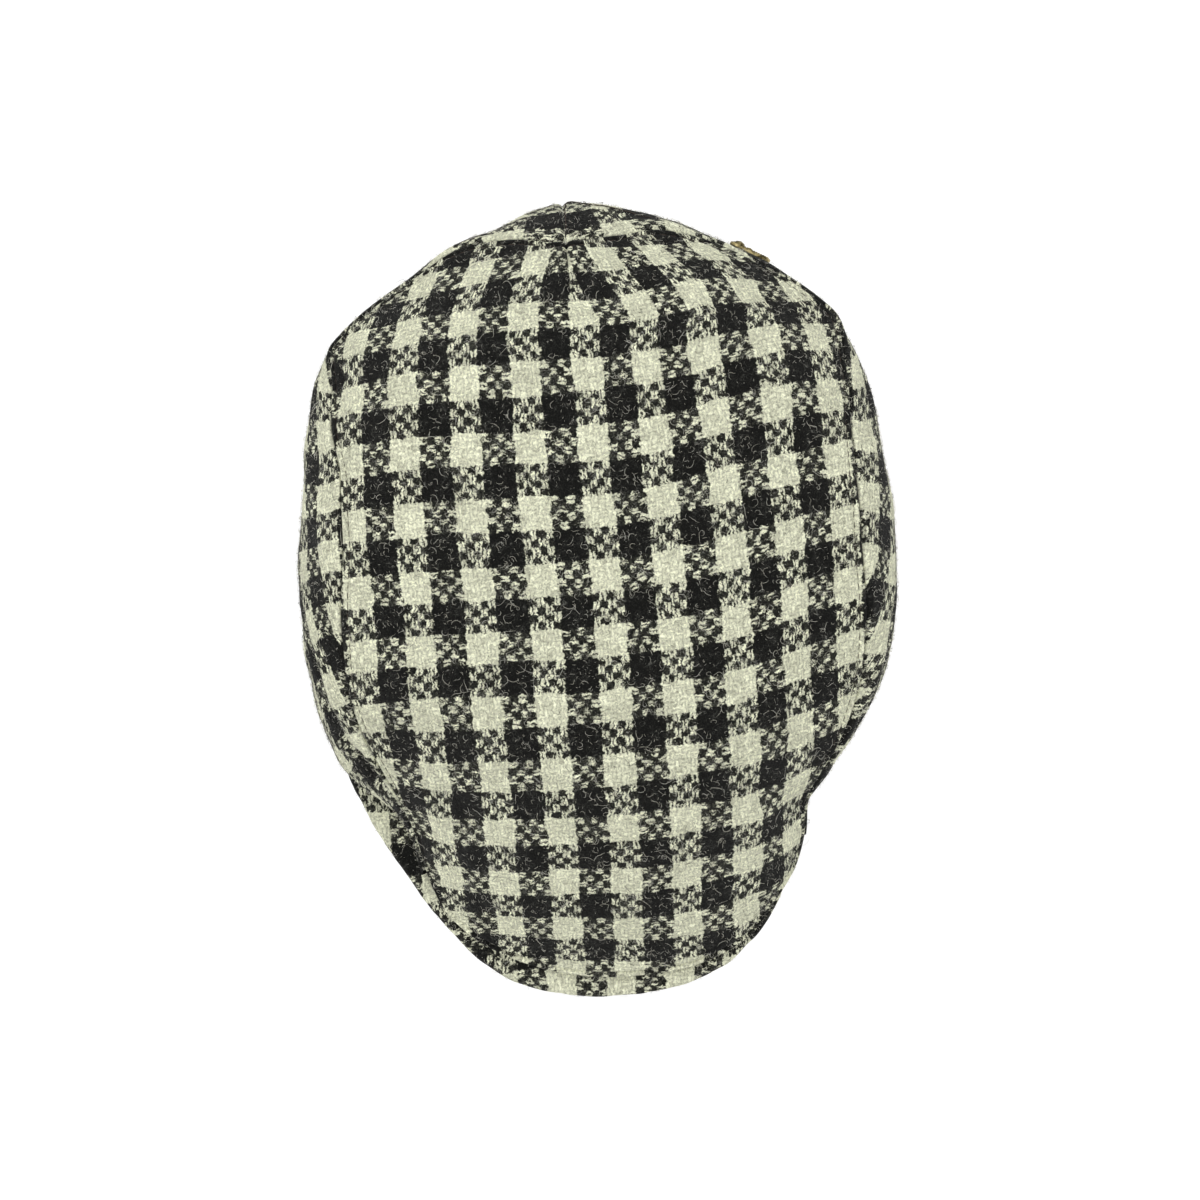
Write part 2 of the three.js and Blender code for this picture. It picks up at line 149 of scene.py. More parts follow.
def polar(angle, radius, height):
    turn = np.radians(angle)
    return np.stack(
        np.broadcast_arrays(radius * np.cos(turn), CENTRE_Y + radius * np.sin(turn), height), -1
    ).astype(float)


def rim_radius(angle):
    """Radius of the head opening's oval, seen from the cap's middle."""
    turn = np.radians(angle)
    a = (np.cos(turn) / RIM_HALF_WIDTH) ** 2 + (np.sin(turn) / RIM_HALF_LENGTH) ** 2
    start = (CENTRE_Y - RIM_Y) / RIM_HALF_LENGTH
    b = np.sin(turn) / RIM_HALF_LENGTH * start
    return (-b + np.sqrt(b * b - a * (start * start - 1))) / a


def peak_top(angle, radius):
    """Height of the peak's top face: an arch across, lower towards its edge."""
    share = np.clip((np.mod(angle, 360.0) - PEAK_MIDDLE) / PEAK_HALF_SPAN, -1, 1)
    arch = np.maximum(np.cos(share * math.pi / 2), 0) ** PEAK_ARCH
    return PEAK_CORNER + (PEAK_ROOT - PEAK_CORNER) * arch - PEAK_DROOP * (radius - rim_radius(angle))


def crown(angle, share):
    """The top panel's outer surface: share runs from 0 at the ridge to 1 at the seam."""
    angle, share = np.broadcast_arrays(np.asarray(angle, float), np.asarray(share, float))
    radius = seam_radius(angle)
    height = np.maximum(seam_table_height(angle), peak_top(angle, radius) + PANEL_ON_PEAK)
    seam = polar(angle, radius, height)
    start = RIDGE_MIDDLE + RIDGE_HALF * np.tanh((seam[..., 1] - RIDGE_MIDDLE) / RIDGE_SPREAD)
    from_summit = start - RIDGE_SUMMIT
    bow = np.where(from_summit < 0, FRONT_BOW, BACK_BOW)
    run = seam[..., 1] - start
    high = CROWN_TOP - bow * from_summit**2
    straight = -2 * bow * from_summit * run
    z = high + straight * share + (seam[..., 2] - high - straight) * share ** fullness(angle)
    return np.stack([seam[..., 0] * share, start + run * share, z], -1)


def normal_of(surface, angle, share):
    along = surface(angle, np.minimum(share + 0.01, 1)) - surface(angle, np.maximum(share - 0.01, 0))
    rounding = surface(angle + 0.2, share) - surface(angle - 0.2, share)
    return unit(np.cross(along, rounding))


def past_seam(angle):
    """The way the crown's surface runs on past the seam, square to the seam."""
    one = np.ones_like(angle)
    along = crown(angle + 0.2, one) - crown(angle - 0.2, one)
    return unit(np.cross(along, normal_of(crown, angle, one)))


def foot(angle, inward=0.0):
    """The lower edge of a side panel: on the floor, then on the peak, and at the front under the seam."""
    turned = np.mod(angle, 360.0)
    on_left = (turned > BACK_SEAM) & (turned < PEAK_MIDDLE)
    turned = np.where(~on_left & (turned < 180.0), turned + 360.0, turned)
    leaves, on_peak, under_seam = (
        np.where(on_left, LEFT_FRONT[name], RIGHT_FRONT[name])
        for name in ("leaves_floor", "on_peak", "under_seam")
    )
    under = smooth((turned - on_peak) / (under_seam - on_peak))
    below = np.minimum(seam_radius(turned) - CLOTH / 2, peak_edge_radius(turned) - CLOTH)
    radius = rim_radius(turned) * (1 - under) + below * under - inward
    raised = smooth((turned - leaves) / (on_peak - leaves))
    return polar(turned, radius, raised * (peak_top(turned, radius) + GAP))


def bend(start, end, leave, t):
    """A curve between two points that leaves one in a given direction and reaches the other going down."""
    reach = np.linalg.norm(end - start, axis=-1, keepdims=True)
    return hermite(start, end, leave * reach, DOWN * reach, t[..., None])


def side(angle, share):
    """A side panel's outer surface: from 0 at the seam, by 0.5 at the bulge, to 1 at the foot."""
    angle, share = np.broadcast_arrays(np.asarray(angle, float), np.asarray(share, float))
    leave = past_seam(angle)
    seam = crown(angle, np.ones_like(angle)) + leave * GAP
    bulge = polar(angle, bulge_radius(angle), bulge_height(angle))
    upper = bend(seam, bulge, leave, np.clip(share * 2, 0, 1))
    lower = bend(bulge, foot(angle), np.broadcast_to(DOWN, bulge.shape), np.clip(share * 2 - 1, 0, 1))
    return np.where((share < 0.5)[..., None], upper, lower)


def lengths_along(points, axis=0):
    """Length run along rows of points, starting at nought."""
    steps = np.linalg.norm(np.diff(points, axis=axis), axis=-1)
    first = np.zeros_like(np.take(steps, [0], axis=axis))
    return np.concatenate([first, np.cumsum(steps, axis=axis)], axis=axis)


def soft_noise(points, wavelength, seed, waves=14):
    """Smooth noise of about unit height, as a sum of plane waves in seeded directions."""
    rng = np.random.default_rng(seed)
    total = np.zeros(points.shape[:-1])
    for _ in range(waves):
        direction = unit(rng.normal(size=3)) * 2 * math.pi / (wavelength * rng.uniform(0.7, 1.5))
        total += np.sin(points @ direction + rng.uniform(0, 2 * math.pi))
    return total / math.sqrt(waves / 2)


def ridges(table, distance):
    """Height of ridges and grooves at a distance from a seam. Each row has a height, a middle and a width."""
    return sum(high * np.exp(-(((distance - middle) / width) ** 2)) for high, middle, width in table)


def slack(table, points):
    """Height of the cloth's slack. Each row has a height, a wavelength and a seed."""
    return sum(high * soft_noise(points, wavelength, seed) for high, wavelength, seed in table)


# Meshes

def make_mesh(name, points, faces, uv=None, face_slot=None, flat=False):
    """A mesh from points in millimetres and faces of any size, with its cloth map if it has one."""
    mesh = bpy.data.meshes.new(name)
    points = np.asarray(points, np.float32).reshape(-1, 3) * MM
    sizes = np.array([len(face) for face in faces], np.int32)
    loops = np.concatenate(faces).astype(np.int32)
    mesh.vertices.add(len(points))
    mesh.vertices.foreach_set("co", points.ravel())
    mesh.loops.add(len(loops))
    mesh.loops.foreach_set("vertex_index", loops)
    mesh.polygons.add(len(sizes))
    mesh.polygons.foreach_set("loop_start", np.concatenate([[0], np.cumsum(sizes)[:-1]]).astype(np.int32))
    mesh.update(calc_edges=True)
    if uv is not None:
        layer = mesh.uv_layers.new(name="cloth")
        layer.data.foreach_set("uv", np.asarray(uv, np.float32).ravel())
    mesh.polygons.foreach_set("use_smooth", np.full(len(sizes), not flat))
    if face_slot is not None:
        mesh.polygons.foreach_set("material_index", np.asarray(face_slot, np.int32))
    mesh.validate()
    mesh.update()
    return mesh


def add_piece(mesh, materials, replaces=None):
    piece = bpy.data.objects.new(mesh.name, mesh)
    bpy.context.scene.collection.objects.link(piece)
    for material in materials:
        mesh.materials.append(material)
    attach(piece, "root")
    if replaces:
        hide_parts(replaces)


class Sheet:
    """The faces of a cloth mesh over numbered points, with the cloth map at each of their corners."""

    def __init__(self, inside_out=False):
        self.inside_out = inside_out
        self.faces, self.uv = [], []

    def add(self, faces, uv, turned=False):
        step = -1 if turned != self.inside_out else 1
        self.faces.extend(face[::step] for face in faces)
        self.uv.extend(corners[::step] for corners in uv)

    def grid(self, first, lay, count, turned=False):
        """Quads over rows of points, closed to a ring where the map has one column more than the points."""
        i, k = (index.ravel() for index in np.indices((lay.shape[0] - 1, lay.shape[1] - 1)))
        row, column = np.stack([i, i + 1, i + 1, i], -1), np.stack([k, k, k + 1, k + 1], -1)
        self.add(first + row * count + column % count, lay[row, column], turned)

    def strip(self, first, second, lay, turned=False):
        """Quads between two rows of points that share a row of the map."""
        k = np.arange(len(first) - 1)
        corners = np.stack([first[k], first[k + 1], second[k + 1], second[k]], -1)
        self.add(corners, lay[np.stack([k, k + 1, k + 1, k], -1)], turned)

    def mesh(self, name, *grids):
        points = np.concatenate([grid.reshape(-1, 3) for grid in grids])
        return make_mesh(name, points, self.faces, np.concatenate(self.uv))


def wall(outer, inner, lay, picks, inside_out):
    """The faces of a cloth wall, joined along the first row, and the number of its first inner point."""
    sheet = Sheet(inside_out)
    count = outer.shape[1]
    low = outer.size // 3
    sheet.grid(0, lay, count)
    sheet.grid(low, lay[picks], count, turned=True)
    rim = np.arange(lay.shape[1]) % count
    sheet.strip(rim, low + rim, lay[0])
    return sheet, low


def sharing(distances, length_run, shares):
    """The share at each distance from the seam, for each column of a table of run lengths."""
    found = np.empty((len(distances), length_run.shape[1]))
    for k in range(length_run.shape[1]):
        found[:, k] = np.interp(distances[:, k], length_run[:, k], shares)
    return found


# The lay of the cloth

def yarn_counts(across, along):
    """The cloth map in yarns, from repeats counted across and along from the middle of a black stripe."""
    return np.stack([across * REPEAT + STRIPE / 2 + FAR, along * REPEAT + STRIPE / 2 + FAR], -1)


def crown_height_field():
    """Height of the crown on a one-millimetre grid in plan, and the grid's two axes."""
    xs, ys = np.arange(-105.5, 106.0), np.arange(-135.0, 130.0)
    field = np.empty((len(xs), len(ys)))
    near = 90 - np.geomspace(0.01, 6, 60)
    from_back = np.concatenate([near, np.arange(83.8, -83.9, -0.25), -near[::-1]])
    for i, x in enumerate(xs):
        angle = from_back if x > 0 else 180.0 - from_back
        share = x / (seam_radius(angle) * np.cos(np.radians(angle)))
        inside = share <= 1.15
        if not inside.any():
            field[i] = np.nan
            continue
        points = crown(angle[inside], share[inside])
        order = np.argsort(points[:, 1])
        field[i] = np.interp(ys, points[order, 1], points[order, 2])
    return xs, ys, field


FIELD_X, FIELD_Y, FIELD = crown_height_field()


def run_of_cloth():
    """Length run over the crown across and along, from its centre lines, on the same grid."""
    across = np.sqrt(1 + np.nan_to_num(np.gradient(FIELD, axis=0)) ** 2)
    along = np.sqrt(1 + np.nan_to_num(np.gradient(FIELD, axis=1)) ** 2)
    across, along = np.cumsum(across, axis=0), np.cumsum(along, axis=1)
    middle_x, middle_y = np.searchsorted(FIELD_X, 0.0), np.searchsorted(FIELD_Y, 0.0)
    across -= (across[middle_x - 1 : middle_x] + across[middle_x : middle_x + 1]) / 2
    return across, along - along[:, middle_y : middle_y + 1]


RUN_ACROSS, RUN_ALONG = run_of_cloth()


def read_field(field, x, y):
    fx = np.clip(x - FIELD_X[0], 0, len(FIELD_X) - 1.001)
    fy = np.clip(y - FIELD_Y[0], 0, len(FIELD_Y) - 1.001)
    i, j = fx.astype(int), fy.astype(int)
    fx, fy = fx - i, fy - j
    near = field[i, j] * (1 - fy) + field[i, j + 1] * fy
    far = field[i + 1, j] * (1 - fy) + field[i + 1, j + 1] * fy
    return near * (1 - fx) + far * fx


# Middle of a black stripe each way on the top panel
BLACK_ACROSS, BLACK_ALONG = -8.6, 41.4
DART_POINT_Y, DART_SEAM_Y, DART_X = 94.0, 121.0, -2.2
DART_TAKES, DART_CURVE = 15.5, 0.9  # cloth taken up by the dart at the seam
ROW_CLIMB, CLIMB_FROM, CLIMB_EASE = 0.165, 12.0, 14.0

# Where single black squares lie, read off the photograph in its pixels: row, first column, and the
# squares' places from there on. They say how the cloth is eased in beside the dart and drawn over to the two
# pinched corners of the peak.
# A few of these, and of the side panels', were moved after comparing the render with the photograph.
SQUARES_SEEN = [
    (3.9, -2, [(458, 259)]), (3.87, -1, [(515, 249)]), (3.70, 0, [(564, 249), (575, 248)]),
    (3.87, 2, [(617, 244), (669, 238)]), (3.9, 4, [(711, 240)]),
    (3, -3, [(388, 314), (439, 303), (495, 293), (554, 288), (596, 287), (652, 275), (706, 266), (759, 271)]),
    (2, -3, [(374, 365), (434, 355), (493, 348), (555, 342), (615, 338), (671, 331), (729, 318), (786, 311)]),
    (1, -3, [(375, 426), (435, 420), (496, 416), (560, 412), (623, 404)]), (1, 3, [(742, 375), (802, 365)]),
    (0, -3, [(378, 490), (437, 485), (500, 481), (565, 480), (626, 476), (690, 460), (750, 443), (808, 432)]),
    (-1, -3, [(384, 558), (443, 552), (507, 549), (571, 545), (635, 539), (697, 525),
              (758, 510), (815, 497)]),
    (-2, -3, [(390, 622), (449, 619), (514, 616), (577, 612), (640, 605), (703, 596),
              (765, 578), (820, 560)]),
    (-3, -3, [(394, 684), (452, 682), (517, 679), (582, 676), (646, 668), (709, 660),
              (768, 645), (823, 624)]),
    (-4, -3, [(403, 746), (461, 747), (523, 744), (586, 741), (650, 733), (713, 724),
              (773, 706), (824, 686)]),
    (-5, -2, [(467, 806), (529, 806), (590, 804), (654, 796), (715, 786), (774, 773)]),
    (-6, -3, [(423, 849), (473, 857), (533, 858), (594, 856), (656, 853), (716, 840), (775, 827)]),
    (-7, -2, [(479, 904), (537, 906), (596, 905), (659, 905), (718, 895), (773, 872)]),
    (-8, -2, [(486, 943), (541, 948), (600, 950), (659, 950), (718, 940)]),
]
PHOTO_MIDDLE = (597, 598)
PHOTO_MIDDLE_X = -0.5  # where that middle lies across the cap
PHOTO_SCALE = 0.34  # millimetres to a pixel, at the height of the cap's widest line
PHOTO_TURN = math.radians(3.7)
CAMERA_HEIGHT = 3.2
WIDEST_LINE = 0.043


def from_photo(across, down, height):
    """Plan position of a place in the photograph, for cloth at a height in millimetres."""
    dx, dy = across - PHOTO_MIDDLE[0], down - PHOTO_MIDDLE[1]
    scale = PHOTO_SCALE * (CAMERA_HEIGHT - height * MM) / (CAMERA_HEIGHT - WIDEST_LINE)
    x = (math.cos(PHOTO_TURN) * dx - math.sin(PHOTO_TURN) * dy) * scale + PHOTO_MIDDLE_X
    y = -(math.sin(PHOTO_TURN) * dx + math.cos(PHOTO_TURN) * dy) * scale
    return x, y


def under_photo(points, across, down):
    """Row and column of the point of a grid that shows at a place in the photograph."""
    height = 50.0
    for _ in range(3):
        x, y = from_photo(across, down, height)
        off = np.hypot(points[..., 0] - x, points[..., 1] - y)
        found = np.unravel_index(off.argmin(), off.shape)
        height = points[found][2]
    return found


def flat_lay(x, y, on_right):
    """The cloth's own across and along at points in plan, if it lay over the crown with no easing."""
    towards_seam = np.clip((y - DART_POINT_Y) / (DART_SEAM_Y - DART_POINT_Y), 0, 1)
    taken = np.where(on_right, DART_TAKES * towards_seam**DART_CURVE, 0.0)
    lean = CLIMB_EASE * np.logaddexp(0, (x - CLIMB_FROM) / CLIMB_EASE)
    return read_field(RUN_ACROSS, x, y) + taken, read_field(RUN_ALONG, x, y) - ROW_CLIMB * lean


TOP_STIFF, SIDE_STIFF = 60.0, 150.0
SIDE_CALM_STEP, SIDE_CALM_LOW = 40.0, (45, 65)  # where the side panels' cloth isn't eased, along and down


def plate(distance):
    """The bending form of a thin plate, at a distance from where it is pushed."""
    return distance**2 * np.log(distance + 1e-9)


class Easing:
    """A smooth shift of the cloth that brings each square seen to its place. A stiffer one stays calmer."""

    def __init__(self, places, off, stiff):
        self.places = np.asarray(places, float)
        count = len(self.places)
        apart = np.linalg.norm(self.places[:, None] - self.places[None], axis=-1)
        plane = np.column_stack([np.ones(count), self.places / 100])
        system = np.zeros((count + 3, count + 3))
        system[:count, :count] = plate(apart) + stiff * np.eye(count)
        system[:count, count:] = plane
        system[count:, :count] = plane.T
        self.weights = np.linalg.solve(system, np.concatenate([off, np.zeros((3, 2))]))

    def shift(self, x, y):
        flat = np.stack([x, y], -1).reshape(-1, 2)
        total = np.column_stack([np.ones(len(flat)), flat / 100]) @ self.weights[-3:]
        for place, weight in zip(self.places, self.weights):
            total += plate(np.linalg.norm(flat - place, axis=-1))[:, None] * weight
        return total.reshape(*x.shape, 2)


def top_easing():
    squares = [(i, row, *at) for row, first, places in SQUARES_SEEN for i, at in enumerate(places, first)]
    column, row, across, down = np.array(squares, float).T
    height = np.full(len(column), 85.0)
    for _ in range(3):
        x, y = from_photo(across, down, height)
        height = read_field(np.nan_to_num(FIELD, nan=50.0), x, y)
    wanted = np.stack([BLACK_ACROSS + TOP_REPEAT_ACROSS * column, BLACK_ALONG + TOP_REPEAT_ALONG * row], -1)
    lies = np.stack(flat_lay(x, y, x > DART_X), -1)
    return Easing(np.stack([x, y], -1), wanted - lies, TOP_STIFF)


EASING = top_easing()


def top_lay(points, on_right):
    """The cloth map of the top panel at points of the crown. on_right says on which side of the dart."""
    x, y = points[..., 0], points[..., 1]
    across, along = flat_lay(x, y, on_right)
    eased = EASING.shift(x, y)
    u = (across + eased[..., 0] - BLACK_ACROSS) / TOP_REPEAT_ACROSS
    v = (along + eased[..., 1] - BLACK_ALONG) / TOP_REPEAT_ALONG
    return yarn_counts(u, v)


# Top panel

EDGE_STITCH = 2.7  # from the seam in to the topstitch
NEAR_SEAM, NEAR_STEP = 6.0, 0.33
TOP_RINGS, INNER_RINGS = 84, 12
TOP_STEP, DART_STEP, DART_FINE = 0.66, 0.16, 2.2  # degrees between sections, and to the dart's finer ones
# The seam's turned edge, the stitched groove, a slight swell and the seam itself
TOP_WELT = [(0.30, 1.35, 0.8), (-0.42, EDGE_STITCH, 0.40), (0.20, 4.6, 1.5), (-0.60, 0.0, 0.42)]
PRESSED, PRESSED_FROM, PRESSED_EASE = 1.1, 85.0, 30.0  # pressed harder where it's sewn to the peak
DART_WELT = [(-1.3, 0.0, 0.55), (0.4, 2.6, 1.6)]
DART_REACH = 12.0
TOP_SLACK = [(0.30, 34, 11), (0.13, 13, 12), (0.05, 5, 13)]
TOP_CALM = 9.0  # slack fades out this near the seam


def top_angles():
    """Angles of the sections, finer beside the dart."""
    steps = [BACK_SEAM]
    while steps[-1] < BACK_SEAM + 360:
        off = min(steps[-1] - BACK_SEAM, BACK_SEAM + 360 - steps[-1])
        steps.append(steps[-1] + (DART_STEP if off < DART_FINE else TOP_STEP))
    found = np.array(steps[:-1])
    return BACK_SEAM + (found - BACK_SEAM) * 360 / (steps[-1] - BACK_SEAM)


def crown_detail(points, distance):
    """Height that seams, dart and slack add to the crown, in millimetres along its normal."""
    off_dart = np.abs(points[..., 0] - points[..., :1, 0])
    deep = smooth((points[..., 1] - DART_POINT_Y - 2) / (DART_SEAM_Y - DART_POINT_Y))
    dart = deep * np.where(off_dart < DART_REACH, ridges(DART_WELT, off_dart), 0)
    pressed = 1 + PRESSED * smooth((-points[..., 1] - PRESSED_FROM) / PRESSED_EASE)
    loose = slack(TOP_SLACK, points) * smooth(distance / TOP_CALM)
    return pressed * ridges(TOP_WELT, distance) + dart + loose


def top_panel():
    angles = top_angles()
    count = len(angles)
    samples = np.linspace(1, 0.001, 220)[:, None]
    run = lengths_along(crown(angles[None], samples))
    near = np.arange(0, NEAR_SEAM, NEAR_STEP)[:, None] * np.ones(count)
    rest = np.linspace(0, 1, TOP_RINGS)[:, None]
    distance = np.concatenate([near, NEAR_SEAM + rest * (run[-1] - 0.8 - NEAR_SEAM)])
    share = sharing(distance, run, samples[:, 0])
    base = crown(angles[None], share)
    normal = normal_of(crown, np.broadcast_to(angles, share.shape), share)
    outer = base + normal * crown_detail(base, distance)[..., None]
    picks = np.linspace(0, len(distance) - 1, INNER_RINGS).round().astype(int)
    picks[1] = 8
    inner = base[picks] - normal[picks] * CLOTH
    on_right = np.arange(count + 1) >= count // 2
    lay = top_lay(np.concatenate([base, base[:, :1]], axis=1), on_right)
    sheet, low = wall(outer, inner, lay, picks, inside_out=True)
    rungs = ladder(outer[-1])
    sheet.add((len(outer) - 1) * count + rungs, lay[-1][rungs], turned=True)
    sheet.add(low + (len(inner) - 1) * count + rungs, lay[-1][rungs])
    return sheet.mesh("top_panel_cloth", outer, inner), {"points": outer, "normals": normal}


def ladder(loop):
    """Rungs across the last ring, between its left and right halves, from back to front."""
    faces = []
    left, right = 0, len(loop) - 1
    while left + 1 < right:
        if loop[left + 1][1] > loop[right - 1][1]:
            faces.append([left, left + 1, right])
            left += 1
        else:
            faces.append([left, right - 1, right])
            right -= 1
    return np.array(faces)


# Side panels

SIDE_STEP = 0.8  # degrees between sections
SIDE_ROWS, SIDE_INNER_ROWS = 62, 16
SIDE_NEAR, SIDE_NEAR_STEP = 4.0, 0.4
BACK_RADIUS = 125.6
BACK_GAP = 0.03  # half the gap between the two panels at the back
BACK_SECTIONS = np.array([0, 0.25, 0.5, 0.8, 1.2, 1.7])  # finer ones, in millimetres from the back seam
SIDE_WELT = [(-0.55, 0, 0.5), (0.25, 2.2, 1.3)]
BACK_WELT = [(-0.9, 0, 0.7), (0.3, 2.6, 1.4)]
HEM = [(-0.35, 9.0, 0.6), (0.25, 5.0, 3.0)]
SIDE_SLACK = [(0.35, 30, 21), (0.14, 12, 22)]
CREASE_RIDGE = {"share": 0.5, "above": 5.5, "wide": 3.2}  # the raised cloth beside a pinch fold
SIDES = {
    "left": {
        "from": BACK_SEAM, "to": LEFT_END, "row_repeat": 22.05, "first_black": 6.5,
        "crease": [(176, 30), (186, 23), (200, 14), (216, 7), (224, 4)],
        "crease_deep": 1.7, "crease_wide": 3.2,
        "stripe": [(0, 31), (25, 32), (60, 25), (105, 16), (140, 15.5), (165, 16.5), (182, 12), (200, 4.5),
                   (212, -2), (225, -6), (260, -8)],
        "seen": [(1, 0, 549, 222), (1.5, 0.5, 500, 239), (0, 5, 316, 403), (0, 6, 312, 471), (0, 7, 311, 534),
                 (0, 8, 316, 594), (0, 9, 333, 655), (0.5, 4.5, 322, 375), (0.5, 5.5, 326, 437),
                 (0.5, 6.5, 326, 497), (0.5, 7.5, 328, 556), (0.5, 8.5, 337, 617), (-0.5, 8.5, 311, 622),
                 (-0.5, 9.5, 333, 690), (-0.5, 10.5, 352, 745), (-1, 9, 314, 665), (-1, 10, 336, 727),
                 (-1, 11, 368, 770)],
    },
    "right": {
        "from": BACK_SEAM + 360, "to": RIGHT_END, "row_repeat": 21.8, "first_black": 7.0,
        "crease": [(362, 30), (350, 23), (338, 15), (328, 9), (316, 5)],
        "crease_deep": 1.2, "crease_wide": 3.0,
        "stripe": [(0, 30), (25, 33), (60, 26), (124, 16.5), (150, 16.5), (165, 15), (182, 11.5), (200, 3.5),
                   (220, -2), (250, -5)],
        "seen": [(1, 0, 578, 223), (1.5, 0.5, 625, 229), (1, 1, 636, 214), (0.5, 5.5, 858, 371),
                 (0.5, 6.5, 866, 437), (0.5, 7.5, 870, 497), (0.5, 8.5, 870, 556), (0, 7, 883, 470),
                 (0, 8, 884, 533), (0, 9, 872, 600), (-0.5, 8.5, 892, 571), (-0.5, 9.5, 884, 635),
                 (-1, 11, 842, 732)],
    },
}
SIDE_REPEAT_DOWN = 21.6


def side_lay(facts, base, along, distance):
    """Yarn counts of a side panel's cloth: stripes that follow the seam, eased to the squares seen."""
    stripe_along, stripe_distance = np.array(facts["stripe"], float).T
    stripe = np.interp(along, stripe_along, stripe_distance)
    for _ in range(3):
        stripe = np.convolve(np.pad(stripe, 6, mode="edge"), np.full(13, 1 / 13), mode="valid")
    across = stripe - distance
    length = along - facts["first_black"] + 0 * distance
    upper = base[: SIDE_ROWS // 2]
    places, off = [], []
    for stripe_count, row_count, px, py in facts["seen"]:
        found = under_photo(upper, px, py)
        places.append((along[found[1]], distance[found]))
        wanted = (stripe_count * SIDE_REPEAT_DOWN, row_count * facts["row_repeat"])
        off.append((wanted[0] - across[found], wanted[1] - length[found]))
    calm = [(at, low) for at in np.arange(0, along[-1], SIDE_CALM_STEP) for low in SIDE_CALM_LOW]
    easing = Easing(places + calm, off + [(0, 0)] * len(calm), SIDE_STIFF)
    eased = easing.shift(along + 0 * distance, distance)
    down, rows = (across + eased[..., 0]) / SIDE_REPEAT_DOWN, (length + eased[..., 1]) / facts["row_repeat"]
    return yarn_counts(down, rows)


def side_angles(facts):
    """Angles of a side panel's sections, finer beside the back seam."""
    span = facts["to"] - facts["from"]
    even = np.linspace(0, 1, int(abs(span) / SIDE_STEP) + 1)
    fine = np.degrees(BACK_SECTIONS / BACK_RADIUS) / abs(span)
    share = np.concatenate([fine, even[even > fine[-1] + 0.003]])
    first = facts["from"] + math.copysign(math.degrees(BACK_GAP / BACK_RADIUS), span)
    return first + share * (facts["to"] - first)


def side_detail(facts, base, angles, along, distance, total):
    """Height that seams, hem, pinch fold and slack add to a side panel, in millimetres along its normal."""
    up = total - distance
    path = np.array(sorted(facts["crease"]))
    crease_at = np.interp(angles, path[:, 0], path[:, 1], left=-99, right=-99)
    there = crease_at > 0
    crease = there * smooth((along[-1] - along) / 20) * smooth((along - along[np.argmax(there)]) / 30)
    ridge_at = crease_at - CREASE_RIDGE["above"]
    fold = [(-1, crease_at, facts["crease_wide"]), (CREASE_RIDGE["share"], ridge_at, CREASE_RIDGE["wide"])]
    folded = facts["crease_deep"] * ridges(fold, distance)
    loose = slack(SIDE_SLACK, base) * smooth(distance / 7) * smooth(up / 8)
    inside = smooth((total - 6) / 14) * (crease * folded + loose + ridges(HEM, up))
    return ridges(SIDE_WELT, distance) + inside + ridges(BACK_WELT, along)


def side_panel(name, facts):
    angles = side_angles(facts)
    count = len(angles)
    samples = np.linspace(0, 1, 241)[:, None]
    run = lengths_along(side(angles[None], samples))
    total = run[-1]
    near = np.minimum(np.arange(0, SIDE_NEAR, SIDE_NEAR_STEP)[:, None], 0.3 * total)
    start = near[-1] + np.minimum(SIDE_NEAR_STEP, 0.01 * total)
    distance = np.concatenate([near, start + np.linspace(0, 1, SIDE_ROWS)[:, None] * (total - start)])
    share = sharing(distance, run, samples[:, 0])
    grid = np.broadcast_to(angles, share.shape)
    base = side(grid, share)
    normal = normal_of(side, grid, share)
    normal[:3] = normal_of(crown, angles, np.ones_like(angles))
    along = lengths_along(side(angles, np.full_like(angles, 0.3)))
    lift = side_detail(facts, base, angles, along, distance, total)[..., None] * normal
    lift[-1] = 0
    outer, inner = base + lift, base - normal * CLOTH
    inner[-1] = foot(angles, CLOTH)
    for face in (outer, inner):
        face[..., 2] = np.maximum(face[..., 2], 0)
    picks = np.unique(np.linspace(0, len(distance) - 1, SIDE_INNER_ROWS).round().astype(int))
    inner = inner[picks]
    lay = side_lay(facts, base, along, distance)
    sheet, low = wall(outer, inner, lay, picks, inside_out=facts["to"] > facts["from"])
    k = np.arange(count)
    sheet.strip((len(outer) - 1) * count + k, low + (len(inner) - 1) * count + k, lay[-1], turned=True)
    for column, turned in ((0, False), (count - 1, True)):
        for j in range(len(picks) - 1):
            rows = np.arange(picks[j], picks[j + 1] + 1)
            corners = [*(rows * count + column), low + (j + 1) * count + column, low + j * count + column]
            sheet.add([corners], [lay[[*rows, picks[j + 1], picks[j]], column]], turned)
    return sheet.mesh(name, outer, inner), {"points": outer, "normals": normal}


# Peak

PEAK_STEP = 0.4
PEAK_ROWS, PEAK_EDGE_ROWS, PEAK_UNDER_ROWS = 54, 12, 18
PEAK_REPEAT = 20.2
PEAK_EDGE_SEAM = {"drop": 0.62 * PEAK_THICK, "deep": 0.5, "wide": 0.35}
PEAK_SLACK = [(0.12, 16, 31), (0.05, 6, 32)]
PEAK_SHIFT_FROM, PEAK_SHIFT_EASE = -30.0, 45.0  # left of here the cover's rows are half a repeat on
PEAK_BLACK_ACROSS, PEAK_BLACK_ALONG = -10.8, -119.5


